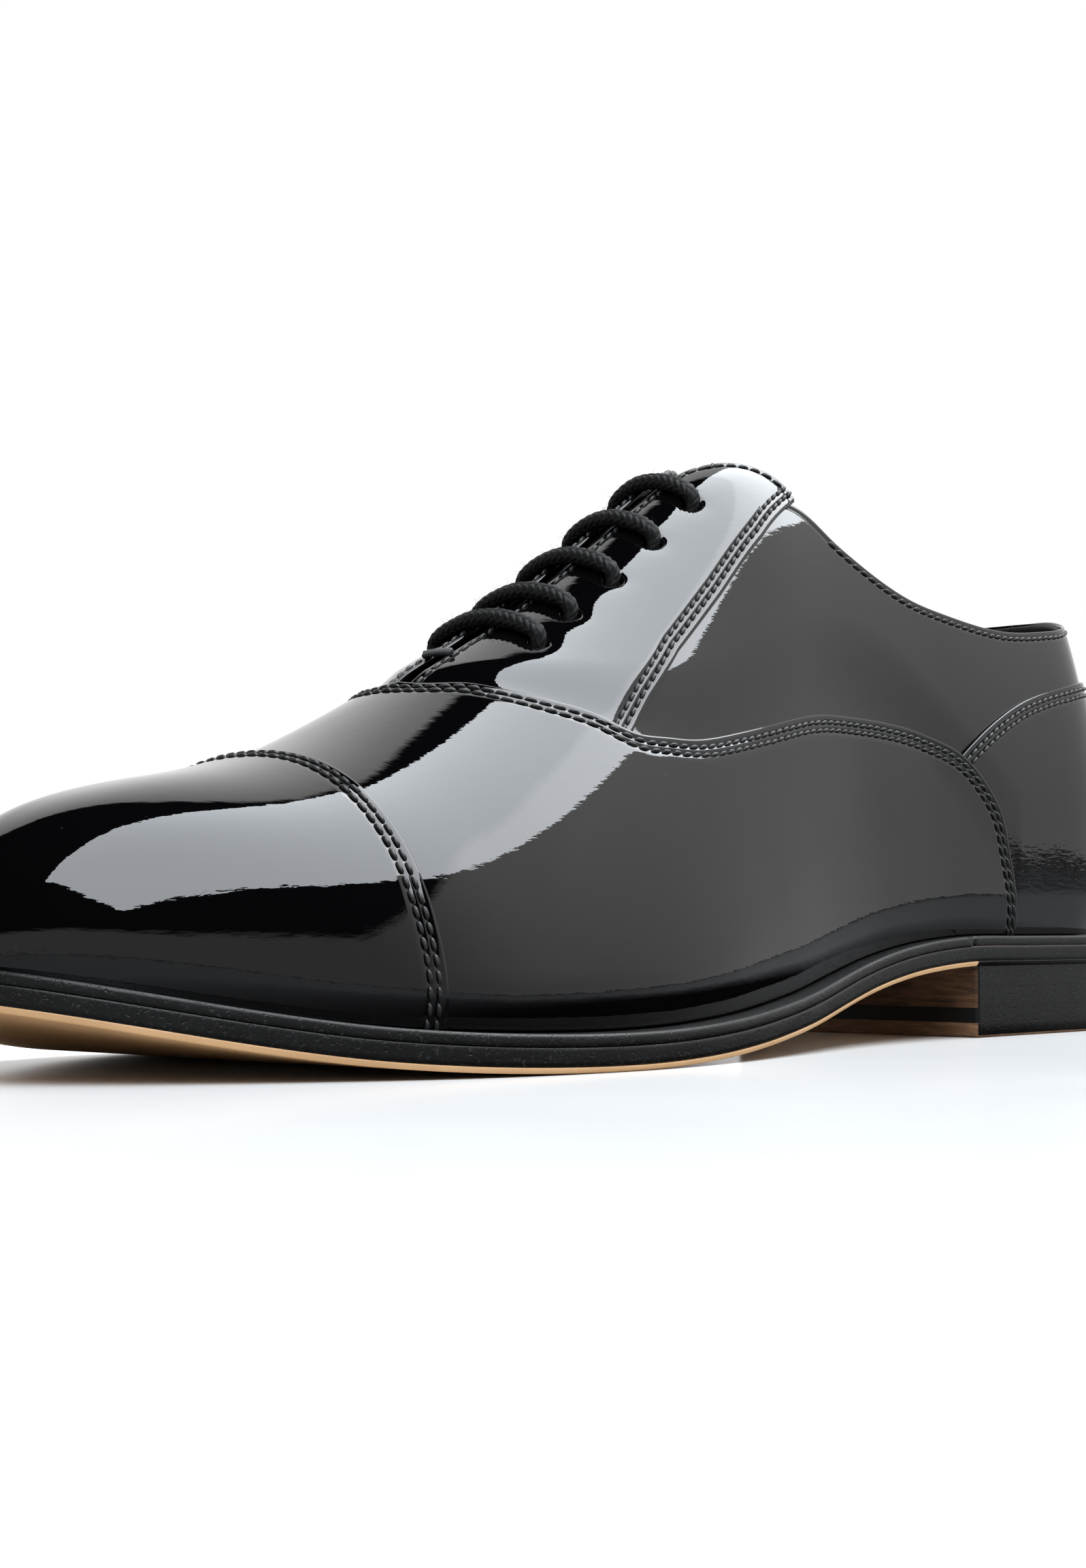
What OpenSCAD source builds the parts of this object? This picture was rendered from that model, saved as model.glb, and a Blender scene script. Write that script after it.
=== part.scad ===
// Cap-toe oxford shoe for the left foot, with a leather sole and a stacked heel.
// X runs across the shoe with +X on its outer side, Y runs from the toe (-Y) to the heel (+Y),
// and Z is up. The origin is on the ground under the middle of the shoe.
//
// The upper is built in layers on one foot shape. A place on it is [along, round, depth]:
// along is the distance round the sole's edge from the back of the heel to the toe tip, positive
// on the outer side and negative on the inner side. round is an angle from 0 at the welt over 90 on
// the ridge to 180 at the welt of the other side. depth is how far inside the outer skin it lies.

/* [Last] */
// Length of the outsole from the back of the heel to the toe tip
sole_length = 300; // [285:1:315]
// Width of the outsole at the ball of the foot
sole_width = 103; // [98:1:108]
// Height of the front of the lacing over the welt
throat_rise = 92; // [88:1:96]
// Lift of the toe tip over the ground
toe_spring = 11.4; // [8:0.2:14]

/* [Sole and heel] */
// Thickness of the outsole leather
outsole_t = 4; // [3.6:0.1:4.6]
// Thickness of the welt
welt_t = 2; // [1.8:0.1:2.4]
// Height of the heel block under the outsole
heel_h = 14.4; // [13:0.2:17]
// Thickness of the rubber layer in the heel block
rubber_t = 3; // [2.4:0.2:3.6]
// Thickness of the leather top piece that meets the ground
top_piece_t = 3; // [2.4:0.2:3.6]
// Thickness of the insole board
insole_t = 2.4; // [2:0.1:2.6]

/* [Upper] */
// Thickness of one layer of upper leather
leather_t = 0.9; // [0.7:0.05:0.95]
// Distance of the cap seam along the sole edge from the back of the heel
cap_seam = 258; // [254:1:262]
// Thickness of the padded tongue
tongue_t = 1.6; // [1.2:0.1:1.8]

/* [Lacing] */
// Diameter of the round lace
lace_d = 3.4; // [3.2:0.1:4.2]
// Diameter of a punched lace hole
hole_d = 4.2; // [3.6:0.1:4.6]

/* [Hidden] */

// scale of the design against the sizes its tables are drawn in
DRAWN_LENGTH = 300;
DRAWN_WIDTH = 103;
DRAWN_RISE = 92;
length_k = sole_length / DRAWN_LENGTH;
width_k = sole_width / DRAWN_WIDTH;
rise_k = throat_rise / DRAWN_RISE;

// stations, measured along the shoe from the back of the heel
HEEL_ROUND = 30;      // the back of the heel is round up to here
TOE_ROUND = 225;      // the toe is round from here on
BREAST = 76;          // front face of the heel block
UPPER_BACK = 2.2;
UPPER_FRONT = 295.2;
HEEL_TURN = 47;       // distance round the edge at HEEL_ROUND
TOE_TURN = 242;       // distance round the edge at TOE_ROUND
TIP = 360;            // distance round the edge at the toe tip

// depths of the layers of the upper
LAYER = 1;            // one layer of leather and the cement under it
CAP_DEPTH = -1.1;
VAMP_DEPTH = 0;
FACING_DEPTH = 1;
QUARTER_DEPTH = 2;
LINING_DEPTH = 3;
LINING_T = 0.8;
PUFF_T = 0.7;
BASE_GAP = 0.1;       // the upper stands this much over the welt
SEAM_STEP = 1.2;      // how much the foot shape swells behind the vamp seam

WELT_INSET = 9;       // width of the welt and of the heel rand
COLOR_PATENT = [0.03, 0.03, 0.035];
COLOR_LINING = [0.06, 0.055, 0.05];
COLOR_EDGE = [0.05, 0.05, 0.05];
COLOR_TAN = [0.72, 0.52, 0.33];
COLOR_BROWN = [0.36, 0.22, 0.13];
COLOR_THREAD = [0.08, 0.08, 0.085];

// half widths of the outsole on each side of its middle line
OUTER_HALF = [[0, 31], [30, 31.6], [60, 31.6], [90, 31.5], [120, 34.2], [150, 41.8], [180, 49.3],
    [200, 51.8], [212, 51.9], [225, 50.6], [240, 48.4], [255, 45.6], [270, 43.2], [300, 40.8]];
INNER_HALF = [[0, 31], [30, 31.4], [60, 31], [90, 29.6], [120, 29.2], [150, 33.5], [180, 43],
    [200, 48.6], [212, 50.3], [225, 50.6], [240, 49], [255, 47], [270, 44.8], [300, 41.4]];
MIDDLE = [[0, -1.5], [60, -1.5], [120, 0], [160, 0], [200, -0.3], [230, -1.2], [260, -3.1],
    [285, -5.9], [300, -8]];
// how the underside of the outsole falls from the heel and rises at the toe, as shares of 1
ARCH = [[0, 1], [60, 1], [78, 1], [86, 0.97], [100, 0.885], [115, 0.73], [130, 0.53], [145, 0.335],
    [160, 0.2], [180, 0.075], [200, 0.01], [212, 0], [224, 0], [300, 0]];
SPRING = [[0, 0], [195, 0], [210, 0], [225, 0.02], [240, 0.08], [255, 0.2], [270, 0.42], [285, 0.7],
    [300, 1]];
// height of the ridge of the upper over the welt
RIDGE = [[0, 92], [60, 96], [100, 98.5], [120, 99.5], [131, 99.5], [145, 93.5], [160, 85],
    [182, 72], [194, 65.8], [206, 59.6], [220, 52], [235, 44.6], [250, 38.8], [265, 35],
    [280, 31.5], [300, 28]];
// how square the sections of the upper are across and in height
SQUARE_ACROSS = [[0, 2.5], [100, 2.4], [150, 2.1], [200, 2], [225, 2.1], [250, 2.3], [300, 2.4]];
SQUARE_UP = [[0, 2.5], [100, 2.3], [150, 1.95], [200, 1.75], [225, 1.75], [250, 2], [300, 2.2]];
// how far the welt stands out beyond the upper
WELT_OUT = [[0, 1.2], [70, 1.4], [110, 2.2], [150, 3.4], [200, 4.4], [300, 4.6]];
// forward lean of the back of the heel, by height over the welt
BACK_LEAN = [[0, 0], [12, -2.2], [26, -3.2], [42, -1], [58, 3.2], [75, 7.5], [120, 12]];

// seams and edges as [along, round], from the back of the heel or the welt to the ridge
VAMP_SEAM = [[75, 0], [76.5, 3], [79, 7], [83, 12], [94, 17.5], [109, 21], [123, 23.5], [137, 26],
    [156, 30], [173, 34], [187, 38], [196, 42], [203, 46], [209, 53], [215, 60], [219.5, 67],
    [223, 75], [226, 82], [227, 90]];
VAMP_LOWER = [[82, 0], [88, 0], [94, 0], [100, 0], [118, 0], [136, 0], [154, 0], [172, 0],
    [190, 0], [208, 0], [226, 0], [244, 0], [258, 0], [272, 0], [272, 20], [272, 40], [272, 60],
    [272, 76], [272, 90]];
VAMP_START = [[74, 0], [123, 23.5], [187, 38], [209, 53], [219.5, 67], [226, 82], [300, 90]];
TOPLINE = [[0, 47], [16, 46.3], [32, 43.6], [48, 40.8], [72, 38.2], [96, 39.5], [112, 43.5],
    [126, 51.5], [136, 62]];
QUARTER_FRONT = [[147, 66], [160, 63], [176, 61], [192, 58], [205, 52]];
QUARTER_LOWER = [[0, 0], [16, 0], [32, 0], [48, 0], [72, 0], [96, 8], [112, 12], [126, 15],
    [138, 18], [150, 20.5], [164, 23.5], [180, 27.5], [193, 32], [205, 39]];
FACING_FRONT = [[237, 88], [220, 87.8], [200, 87.6], [180, 87.5], [165, 87.4], [155, 86.8],
    [149.5, 83.5]];
FACING_REAR = [[214, 40], [203, 46], [195, 49], [184, 52], [168, 54], [151, 57], [136, 62]];
PANEL_TOP = [[106, 11], [96, 17.3], [72, 25.5], [48, 30.2], [32, 32], [16, 33.2], [0, 33.5]];
PANEL_LOWER = [[106, 0], [96, 0], [72, 0], [48, 0], [32, 0], [16, 0], [0, 0]];
STIFFENER_TOP = [[96, 10], [72, 21], [48, 26.5], [32, 28.4], [16, 29.2], [0, 29.5]];
STIFFENER_LOWER = [[96, 0], [72, 0], [48, 0], [32, 0], [16, 0], [0, 0]];
LINING_SEAM = [[166, 0], [172, 12], [182, 24], [194, 36], [204, 48], [211, 60], [216, 72],
    [219, 82], [220, 90]];
GRIP_TOP = [[48, 39], [32, 42], [16, 44.8], [0, 45.5]];
GRIP_LOWER = [[48, 6], [32, 6], [16, 6], [0, 6]];
TONGUE_EDGE = [[228, 72], [218, 68], [208, 63], [198, 60], [186, 57], [172, 55], [159, 55],
    [149, 62], [144, 74]];

// lace holes as [along, round], from the toe end up
HOLES = [[206.5, 73], [197, 74], [185.5, 73.5], [173.5, 73.5], [161, 74]];
LACE_OVER = -1.7;     // depth of the lace's middle where it lies on the facings
LACE_CROWN = -2.65;   // and where it rides over their rows of stitches
LACE_RIM = -0.8;      // and over the rim of a hole
LACE_UNDER = 6.4;     // depth of the lace's middle between lining and tongue
LACE_SIDES = 8;

// value of a table of [x, value] rows at x, on a smooth curve through the rows
function row_slope(t, i) =
    let(last = len(t) - 1)
    i == 0 ? (t[1][1] - t[0][1]) / (t[1][0] - t[0][0])
    : i == last ? (t[last][1] - t[last - 1][1]) / (t[last][0] - t[last - 1][0])
    : let(h0 = t[i][0] - t[i - 1][0],
          h1 = t[i + 1][0] - t[i][0],
          d0 = (t[i][1] - t[i - 1][1]) / h0,
          d1 = (t[i + 1][1] - t[i][1]) / h1)
      (d0 * h1 + d1 * h0) / (h0 + h1);
function row_before(t, x, i = 0) = i >= len(t) - 2 || x < t[i + 1][0] ? i : row_before(t, x, i + 1);
function look(t, x0) =
    let(x = min(max(x0, t[0][0]), t[len(t) - 1][0]),
        i = row_before(t, x),
        h = t[i + 1][0] - t[i][0],
        q = (x - t[i][0]) / h)
    (2 * q ^ 3 - 3 * q ^ 2 + 1) * t[i][1] + (q ^ 3 - 2 * q ^ 2 + q) * h * row_slope(t, i)
    + (3 * q ^ 2 - 2 * q ^ 3) * t[i + 1][1] + (q ^ 3 - q ^ 2) * h * row_slope(t, i + 1);
function smooth(x) = let(q = min(max(x, 0), 1)) q * q * (3 - 2 * q);

// the foot shape
function toe_turn(along) = 90 * max(abs(along) - TOE_TURN, 0) / (TIP - TOE_TURN);
function closing(along) =
    abs(along) < HEEL_TURN ? sin(90 * abs(along) / HEEL_TURN) : cos(toe_turn(along));
function station(along, back, front) =
    abs(along) < HEEL_TURN ? back + (HEEL_ROUND - back) * (1 - cos(90 * abs(along) / HEEL_TURN))
    : abs(along) < TOE_TURN ? abs(along) - HEEL_TURN + HEEL_ROUND
    : TOE_ROUND + (front - TOE_ROUND) * sin(toe_turn(along));
function half_width(s, side) = look(side > 0 ? OUTER_HALF : INNER_HALF, s);
function sole_under(s) = heel_h * look(ARCH, s) + toe_spring * look(SPRING, s);
function welt_top(s) = sole_under(s) + outsole_t + welt_t;
function y_at(s) = length_k * (DRAWN_LENGTH / 2 - s);

// point on the edge of the sole, inset from it, at height z over the outsole's underside
function edge_point(along, inset, z) =
    let(s = station(along, inset, DRAWN_LENGTH - inset),
        side = along < 0 ? -1 : 1,
        half = (half_width(s, side) - inset) * closing(along))
    [width_k * (look(MIDDLE, s) + side * half), y_at(s), sole_under(s) + z];

// point on the upper
function upper_point(p) =
    let(along = p[0],
        local = p[1] > 90 ? 180 - p[1] : p[1],
        side = (along < 0) == (p[1] > 90) ? 1 : -1,
        s = station(along, UPPER_BACK + p[2], UPPER_FRONT - p[2]),
        seam = look(VAMP_START, abs(along)),
        depth = p[2] - SEAM_STEP * smooth((local - seam) / 14),
        open = closing(along),
        half = half_width(s, side) - look(WELT_OUT, s) - depth,
        toe = sin(toe_turn(along)),
        rise = (rise_k * look(RIDGE, s) - depth) * sqrt(max(1 - toe ^ 5, 0)),
        across = abs(cos(local)) ^ (2 / look(SQUARE_ACROSS, s)),
        up = rise * abs(sin(local)) ^ (2 / look(SQUARE_UP, s)),
        tuck = 1.6 * max(1 - up / 9, 0) ^ 2 * across,
        lean = look(BACK_LEAN, up) * max(1 - (s - UPPER_BACK) / 55, 0) ^ 1.5)
    [width_k * (look(MIDDLE, s) + side * open * (across * half - tuck)),
        y_at(s + lean),
        welt_top(s) + BASE_GAP + up];

// point at share u of the way through a curve's control points
function through(curve, u, is_smooth) =
    let(n = len(curve) - 1,
        i = min(floor(u * n + 1e-6), n - 1),
        q = u * n - i,
        a = curve[max(i - 1, 0)],
        b = curve[i],
        c = curve[i + 1],
        d = curve[min(i + 2, n)])
    is_smooth
        ? b + q * ((c - a) / 2 + q * ((a - 2.5 * b + 2 * c - d / 2) + q * (1.5 * (b - c) + (d - a) / 2)))
        : b + (c - b) * q;
function on_side(curve, side) = [for (p = curve) [side * p[0], p[1]]];
function over_ridge(curve) =
    concat(curve, [for (i = [len(curve) - 2:-1:0]) [curve[i][0], 180 - curve[i][1]]]);
function round_heel(curve) =
    concat(curve, [for (i = [len(curve) - 2:-1:0]) [-curve[i][0], curve[i][1]]]);
function fan(n, along) = [for (i = [0:n]) [along, 180 * i / n]];

// closed solid from points and triangles, turned the right way out
function corner_volume(p, f) = p[f[0]] * cross(p[f[1]], p[f[2]]);
function total(list, i = 0, sum = 0) = i == len(list) ? sum : total(list, i + 1, sum + list[i]);
module solid(points, faces) {
    volume = total([for (f = faces) corner_volume(points, f)]);
    polyhedron(points, volume > 0 ? [for (f = faces) [f[2], f[1], f[0]]] : faces);
}

// triangles of a lattice of rows that share count points each, starting at a point number
function lattice(rows, count, start, step_row, step_point) =
    [for (i = [0:rows - 1]) for (j = [0:count - 1]) each
        let(a = start + i * step_row + j * step_point,
            b = a + step_row,
            c = b + step_point,
            d = a + step_point)
        [[a, b, c], [a, c, d]]];

// leather sheet between two curves on the upper; extra adds depth by place
module sheet(first, second, rows, cols, depth, t, is_eased = false, extra = function(p) 0) {
    function place(i, j, d) =
        let(a = through(first, i / rows, true),
            b = through(second, i / rows, false),
            k = is_eased ? sin(90 * j / cols) : j / cols,
            p = a + (b - a) * k)
        upper_point([p[0], p[1], d + extra(p)]);
    w = cols + 1;
    size = (rows + 1) * w;
    points = [for (d = [depth, depth + t]) for (i = [0:rows]) for (j = [0:cols]) place(i, j, d)];
    inner = lattice(rows, cols, size, w, 1);
    faces = concat(
        lattice(rows, cols, 0, w, 1),
        [for (f = inner) [f[2], f[1], f[0]]],
        lattice(1, cols, size, -size, 1),
        lattice(1, cols, rows * w, size, 1),
        lattice(1, rows, 0, size, w),
        lattice(1, rows, size + cols, -size, w));
    solid(points, faces);
}

// solid skin over rings that have the same number of points
module skin(rings) {
    n = len(rings[0]);
    last = len(rings) - 1;
    points = [for (r = rings) each r];
    sides = [for (i = [0:last - 1]) for (j = [0:n - 1]) each
        let(a = i * n + j,
            b = i * n + (j + 1) % n,
            c = b + n,
            d = a + n)
        [[a, b, c], [a, c, d]]];
    near_cap = [for (j = [1:n - 2]) [0, j + 1, j]];
    far_cap = [for (j = [1:n - 2]) [last * n, last * n + j, last * n + j + 1]];
    solid(points, concat(sides, near_cap, far_cap));
}

// flat slab that follows the sole between two distances round its edge
module sole_slab(from, to, rings, inset, low, high) {
    skin([for (i = [0:rings])
        let(along = from + (to - from) * i / rings)
        [edge_point(along, inset, low), edge_point(along, inset, high),
            edge_point(-along, inset, high), edge_point(-along, inset, low)]]);
}

// strip along the edge of the sole, from one distance round it to another through the tip or heel
module edge_strip(places, width, low, high) {
    skin([for (along = places)
        [edge_point(along, 0, low), edge_point(along, 0, high),
            edge_point(along, width, high), edge_point(along, width, low)]]);
}

// round tube along a path
function unit(v) = v / norm(v);
function tangent(path, i) = unit(path[min(i + 1, len(path) - 1)] - path[max(i - 1, 0)]);
function frames(path, i = 0, seed = [0, 0, 1]) =
    let(t = tangent(path, i),
        n = unit(seed - t * (seed * t)),
        here = [n, cross(t, n)])
    i == len(path) - 1 ? [here] : concat([here], frames(path, i + 1, n));
module tube(path, r, sides, seed = [0, 0, 1]) {
    f = frames(path, seed = seed);
    skin([for (i = [0:len(path) - 1]) [for (k = [0:sides - 1])
        path[i] + r * (cos(360 * k / sides) * f[i][0] + sin(360 * k / sides) * f[i][1])]]);
}

// one row of thread that lies on the leather along a curve, shifted from it
THREAD_R = 0.3;
THREAD_GAP = 0.34;
THREAD_SIDES = 4;
module thread(curve, rings, depth, shift = [0, 0]) {
    lie = depth - THREAD_R - THREAD_GAP;
    path = [for (i = [0:rings])
        let(p = through(curve, i / rings, true) + shift)
        upper_point([p[0], p[1], lie])];
    tube(path, THREAD_R, THREAD_SIDES, [0.3, 0.2, 0.9]);
}

// five holes punched square through the facing and its lining
function hole_axis(hole, side) =
    let(a = upper_point([side * hole[0], hole[1], 0]),
        b = upper_point([side * hole[0], hole[1], 6]))
    unit(a - b);
module punched_holes(side) {
    for (hole = HOLES) {
        v = hole_axis(hole, side);
        translate(upper_point([side * hole[0], hole[1], 2]) - 8 * v)
            rotate([0, acos(v[2]), atan2(v[1], v[0])])
                cylinder(h = 16, d = hole_d, $fn = 24);
    }
}

module toe_cap() {
    color(COLOR_PATENT)
        sheet(fan(24, cap_seam), fan(24, TIP - 1), 24, 10, CAP_DEPTH, leather_t, true);
}

module toe_puff() {
    color(COLOR_TAN)
        sheet(fan(16, cap_seam + 16), fan(16, TIP - 1), 16, 8, VAMP_DEPTH, PUFF_T, true);
}

module vamp() {
    color(COLOR_PATENT)
        sheet(over_ridge(VAMP_SEAM), over_ridge(VAMP_LOWER), 72, 6, VAMP_DEPTH, leather_t);
}

module facing(side) {
    color(COLOR_PATENT)
        difference() {
            sheet(on_side(FACING_FRONT, side), on_side(FACING_REAR, side), 12, 7,
                FACING_DEPTH, leather_t);
            punched_holes(side);
        }
}

module quarter(side) {
    color(COLOR_PATENT)
        sheet(on_side(concat(TOPLINE, QUARTER_FRONT), side), on_side(QUARTER_LOWER, side),
            26, 9, QUARTER_DEPTH, leather_t);
}

module heel_panel() {
    color(COLOR_PATENT)
        sheet(round_heel(PANEL_TOP), round_heel(PANEL_LOWER), 24, 7,
            FACING_DEPTH + 0.1, leather_t - 0.1);
}

module heel_stiffener() {
    color(COLOR_TAN)
        sheet(round_heel(STIFFENER_TOP), round_heel(STIFFENER_LOWER), 20, 6,
            LINING_DEPTH + 0.25, leather_t);
}

// linings sink under whatever lies between them and the outer leather
HEEL_SINK = 1.5;
function vamp_lining_sink(p) = 0.4 - 2.1 * smooth((abs(p[0]) - 238) / 25);
function quarter_lining_sink(p) =
    HEEL_SINK * (1 - smooth((p[1] - 30) / 7)) * (1 - smooth((abs(p[0]) - 94) / 18));

module vamp_lining() {
    edge = over_ridge(LINING_SEAM);
    color(COLOR_LINING)
        sheet(edge, fan(len(edge) - 1, TIP - 1), 32, 11, LINING_DEPTH, LINING_T, true,
            function(p) vamp_lining_sink(p));
}

module quarter_lining(side) {
    seam = [for (i = [len(LINING_SEAM) - 2:-1:0]) LINING_SEAM[i] - [0.6, 0]];
    edge = concat(TOPLINE, [[149, 83], [160, 87], [184, 87.4], [204, 87.4], [218, 86]]);
    floor_edge = [[0, 0], [16, 0], [32, 0], [48, 0], [72, 0], [96, 0], [114, 0], [132, 0],
        [148, 0], [163, 0], [179, 24], [201, 48], [208, 60], [217, 80]];
    color(COLOR_LINING)
        difference() {
            sheet(on_side(edge, side), on_side(floor_edge, side), 26, 10, LINING_DEPTH, LINING_T,
                extra = function(p) quarter_lining_sink(p));
            punched_holes(side);
        }
}

module heel_grip() {
    color(COLOR_LINING)
        sheet(round_heel(GRIP_TOP), round_heel(GRIP_LOWER), 12, 8, LINING_DEPTH + LAYER, LINING_T,
            extra = function(p) quarter_lining_sink(p));
}

// the tongue dips under the laces
TONGUE_ROOT_DEPTH = 4.6;
TONGUE_DIP = 5.4;
function tongue_dip(p) = TONGUE_DIP * smooth((224 - abs(p[0])) / 14);
module tongue() {
    color(COLOR_PATENT)
        sheet(TONGUE_EDGE, [for (p = TONGUE_EDGE) [p[0], 180 - p[1]]], 16, 10, TONGUE_ROOT_DEPTH, tongue_t,
            extra = function(p) tongue_dip(p));
}

// layers of the bottom, from the foot down
INSOLE_INSET = 11.4;
module insole() {
    low = outsole_t + welt_t + 0.1;
    color(COLOR_TAN)
        sole_slab(6, TIP - 8, 46, INSOLE_INSET, low, low + insole_t);
}

module sock_liner() {
    low = outsole_t + welt_t + insole_t + 0.2;
    color(COLOR_LINING)
        sole_slab(8, TIP - 12, 42, INSOLE_INSET + 0.4, low, low + LINING_T);
}

SHANK_HALF = 6;
SHANK_FROM = 50;
SHANK_TO = 165;
SHANK_T = 0.9;
module shank() {
    low = outsole_t + 0.1;
    color("silver")
        skin([for (i = [0:12])
            let(s = SHANK_FROM + (SHANK_TO - SHANK_FROM) * i / 12,
                z = sole_under(s) + low,
                x = width_k * look(MIDDLE, s))
            [[x + SHANK_HALF, y_at(s), z], [x + SHANK_HALF, y_at(s), z + SHANK_T],
                [x - SHANK_HALF, y_at(s), z + SHANK_T], [x - SHANK_HALF, y_at(s), z]]]);
}

// the filler has a channel for the shank
module cork_filler() {
    low = outsole_t + 0.05;
    high = outsole_t + welt_t - 0.05;
    channel = SHANK_HALF + 0.3;
    function ring(along) =
        let(outer = edge_point(along, WELT_INSET + 0.3, 0),
            inner = edge_point(-along, WELT_INSET + 0.3, 0),
            s = station(along, WELT_INSET + 0.3, DRAWN_LENGTH - WELT_INSET - 0.3),
            x = width_k * look(MIDDLE, s),
            lift = s > SHANK_FROM - 2 && s < SHANK_TO + 2 ? SHANK_T + 0.15 : 0.02)
        [outer + [0, 0, high], inner + [0, 0, high], inner + [0, 0, low],
            [x - channel, outer[1], outer[2] + low], [x - channel, outer[1], outer[2] + low + lift],
            [x + channel, outer[1], outer[2] + low + lift], [x + channel, outer[1], outer[2] + low],
            outer + [0, 0, low]];
    stops = concat([for (along = [24:8:56]) along], [for (along = [64.8, 65.2]) along],
        [for (along = [72:8:176]) along], [for (along = [183.8, 184.2]) along],
        [for (along = [192:8:330]) along]);
    color(COLOR_BROWN)
        skin([for (along = stops) ring(along)]);
}

WELT_BACK = 96;
module welt() {
    reach = 6;
    outer_side = [for (along = [WELT_BACK:reach:TIP]) along];
    inner_side = [for (along = [TIP - reach:-reach:WELT_BACK]) -along];
    color(COLOR_EDGE)
        edge_strip(concat(outer_side, inner_side), WELT_INSET, outsole_t + 0.02,
            outsole_t + welt_t);
}

module heel_rand() {
    color(COLOR_EDGE)
        edge_strip([for (along = [-95:5:95]) along], WELT_INSET, outsole_t + 0.02,
            outsole_t + welt_t);
}

// the outsole has a chamfer along its lower edge
module outsole() {
    chamfer = 0.8;
    color(COLOR_TAN)
        skin([for (i = [0:60])
            let(along = 3 + (TIP - 6) * i / 60)
            [edge_point(along, chamfer, 0), edge_point(along, 0, chamfer),
                edge_point(along, 0, outsole_t), edge_point(-along, 0, outsole_t),
                edge_point(-along, 0, chamfer), edge_point(-along, chamfer, 0)]]);
}

// a slice of the heel block between two heights
HEEL_INSET = 0.8;
HEEL_EDGE_END = BREAST - HEEL_ROUND + HEEL_TURN;
module heel_slice(low, high) {
    outline = [for (along = [-HEEL_EDGE_END:HEEL_EDGE_END / 16:HEEL_EDGE_END])
        let(p = edge_point(along, HEEL_INSET, 0))
        [p[0], p[1]]];
    translate([0, 0, low])
        linear_extrude(height = high - low)
            polygon(outline);
}

NAIL_R = 0.8;
NAIL_BORE_R = 0.85;
NAILS = [[-19, 128], [0, 136], [19, 128], [-22, 104], [22, 104], [-20, 82], [20, 82]];
module nail_bores(r) {
    for (p = NAILS)
        translate([width_k * p[0], length_k * p[1], top_piece_t + rubber_t + 0.3])
            cylinder(h = heel_h - top_piece_t - rubber_t - 0.6, r = r, $fn = 24);
}

lift_t = (heel_h - top_piece_t - rubber_t) / 2;
module heel_lift(index) {
    low = top_piece_t + rubber_t + index * lift_t;
    color(COLOR_BROWN)
        difference() {
            heel_slice(low, low + lift_t - 0.02);
            nail_bores(NAIL_BORE_R);
        }
}

module heel_nails() {
    color("goldenrod")
        nail_bores(NAIL_R);
}

module heel_rubber() {
    color(COLOR_EDGE)
        heel_slice(top_piece_t, top_piece_t + rubber_t - 0.02);
}

module top_piece() {
    color(COLOR_TAN)
        heel_slice(0, top_piece_t - 0.02);
}

// the lace crosses the throat once for each pair of holes and runs back between them underneath
function rung(i) =
    let(e = HOLES[i][0],
        a = HOLES[i][1],
        half = 90 - a,
        shares = [-1, -1, -1, -0.62, -0.22, 0.22, 0.62, 1, 1, 1],
        depths = [4.6, 2, LACE_RIM, LACE_OVER, LACE_CROWN, LACE_CROWN, LACE_OVER, LACE_RIM, 2, 4.6])
    [for (k = [0:9]) upper_point([e, 90 + shares[k] * half, depths[k]])];
function under(places) = [for (p = places) upper_point([p[0], p[1], LACE_UNDER])];
function crossing(from, to) =
    under([for (k = [0:4]) [from + (to - from) * k / 4, 104 - 6 * k]]);

// free ends of the lace, tucked down inside the shoe, as [x, y, z]
TAIL_OUTER = [[18, 21, 84], [19.5, 27, 75], [20.5, 32, 65], [21, 37, 55], [20.5, 42, 45],
    [19.5, 48, 36], [17.5, 55, 30], [15, 64, 27], [12.5, 74, 26.5], [10.5, 84, 26.5],
    [9, 94, 26.5], [8, 103, 26.5], [7, 111, 26.5]];
TAIL_INNER = [[-14.5, 23, 84], [-15.5, 29, 75], [-16.5, 34, 65], [-17, 39, 55], [-16.5, 44, 45],
    [-15.5, 51, 36], [-13.5, 58, 30], [-11.5, 67, 27], [-10, 77, 26.5], [-9, 87, 26.5],
    [-8.5, 97, 26.5], [-7, 106, 26.5]];
LACE_ROUTE = concat(
    [for (i = [len(TAIL_OUTER) - 1:-1:0]) TAIL_OUTER[i]],
    under([[152, 64], [161, 63], [172, 62], [184, 62], [196, 62], [204, 65]]),
    rung(0),
    crossing(204, 199),
    rung(1),
    crossing(195, 187),
    rung(2),
    crossing(183, 175),
    rung(3),
    crossing(171, 163),
    rung(4),
    under([[156, 117]]),
    TAIL_INNER);

module lace() {
    color(COLOR_THREAD)
        tube(LACE_ROUTE, lace_d / 2, LACE_SIDES, [0.2, 1, 0.3]);
}

TIP_LENGTH = 18;
module lace_tip(end, before) {
    v = unit(end - before);
    color(COLOR_THREAD)
        translate(end + 0.02 * v)
            rotate([0, acos(v[2]), atan2(v[1], v[0])])
                cylinder(h = TIP_LENGTH, r1 = lace_d / 2, r2 = lace_d / 2 - 0.4, $fn = 24);
}

// two rows of stitching beside each seam, one along each edge
ROW_GAP = 1.5;
module cap_stitching() {
    color(COLOR_THREAD)
        for (row = [1.6, 1.6 + ROW_GAP])
            thread([for (i = [0:24]) [cap_seam + row * 1.1, 4 + 172 * i / 24]], 36, CAP_DEPTH);
}

module vamp_stitching() {
    color(COLOR_THREAD)
        for (row = [1, 2])
            thread(over_ridge([for (i = [3:18]) VAMP_SEAM[i] + row * [i < 11 ? 0 : 1.4, i < 11 ? -1.6 : -1]]),
                60, VAMP_DEPTH);
}

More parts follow.
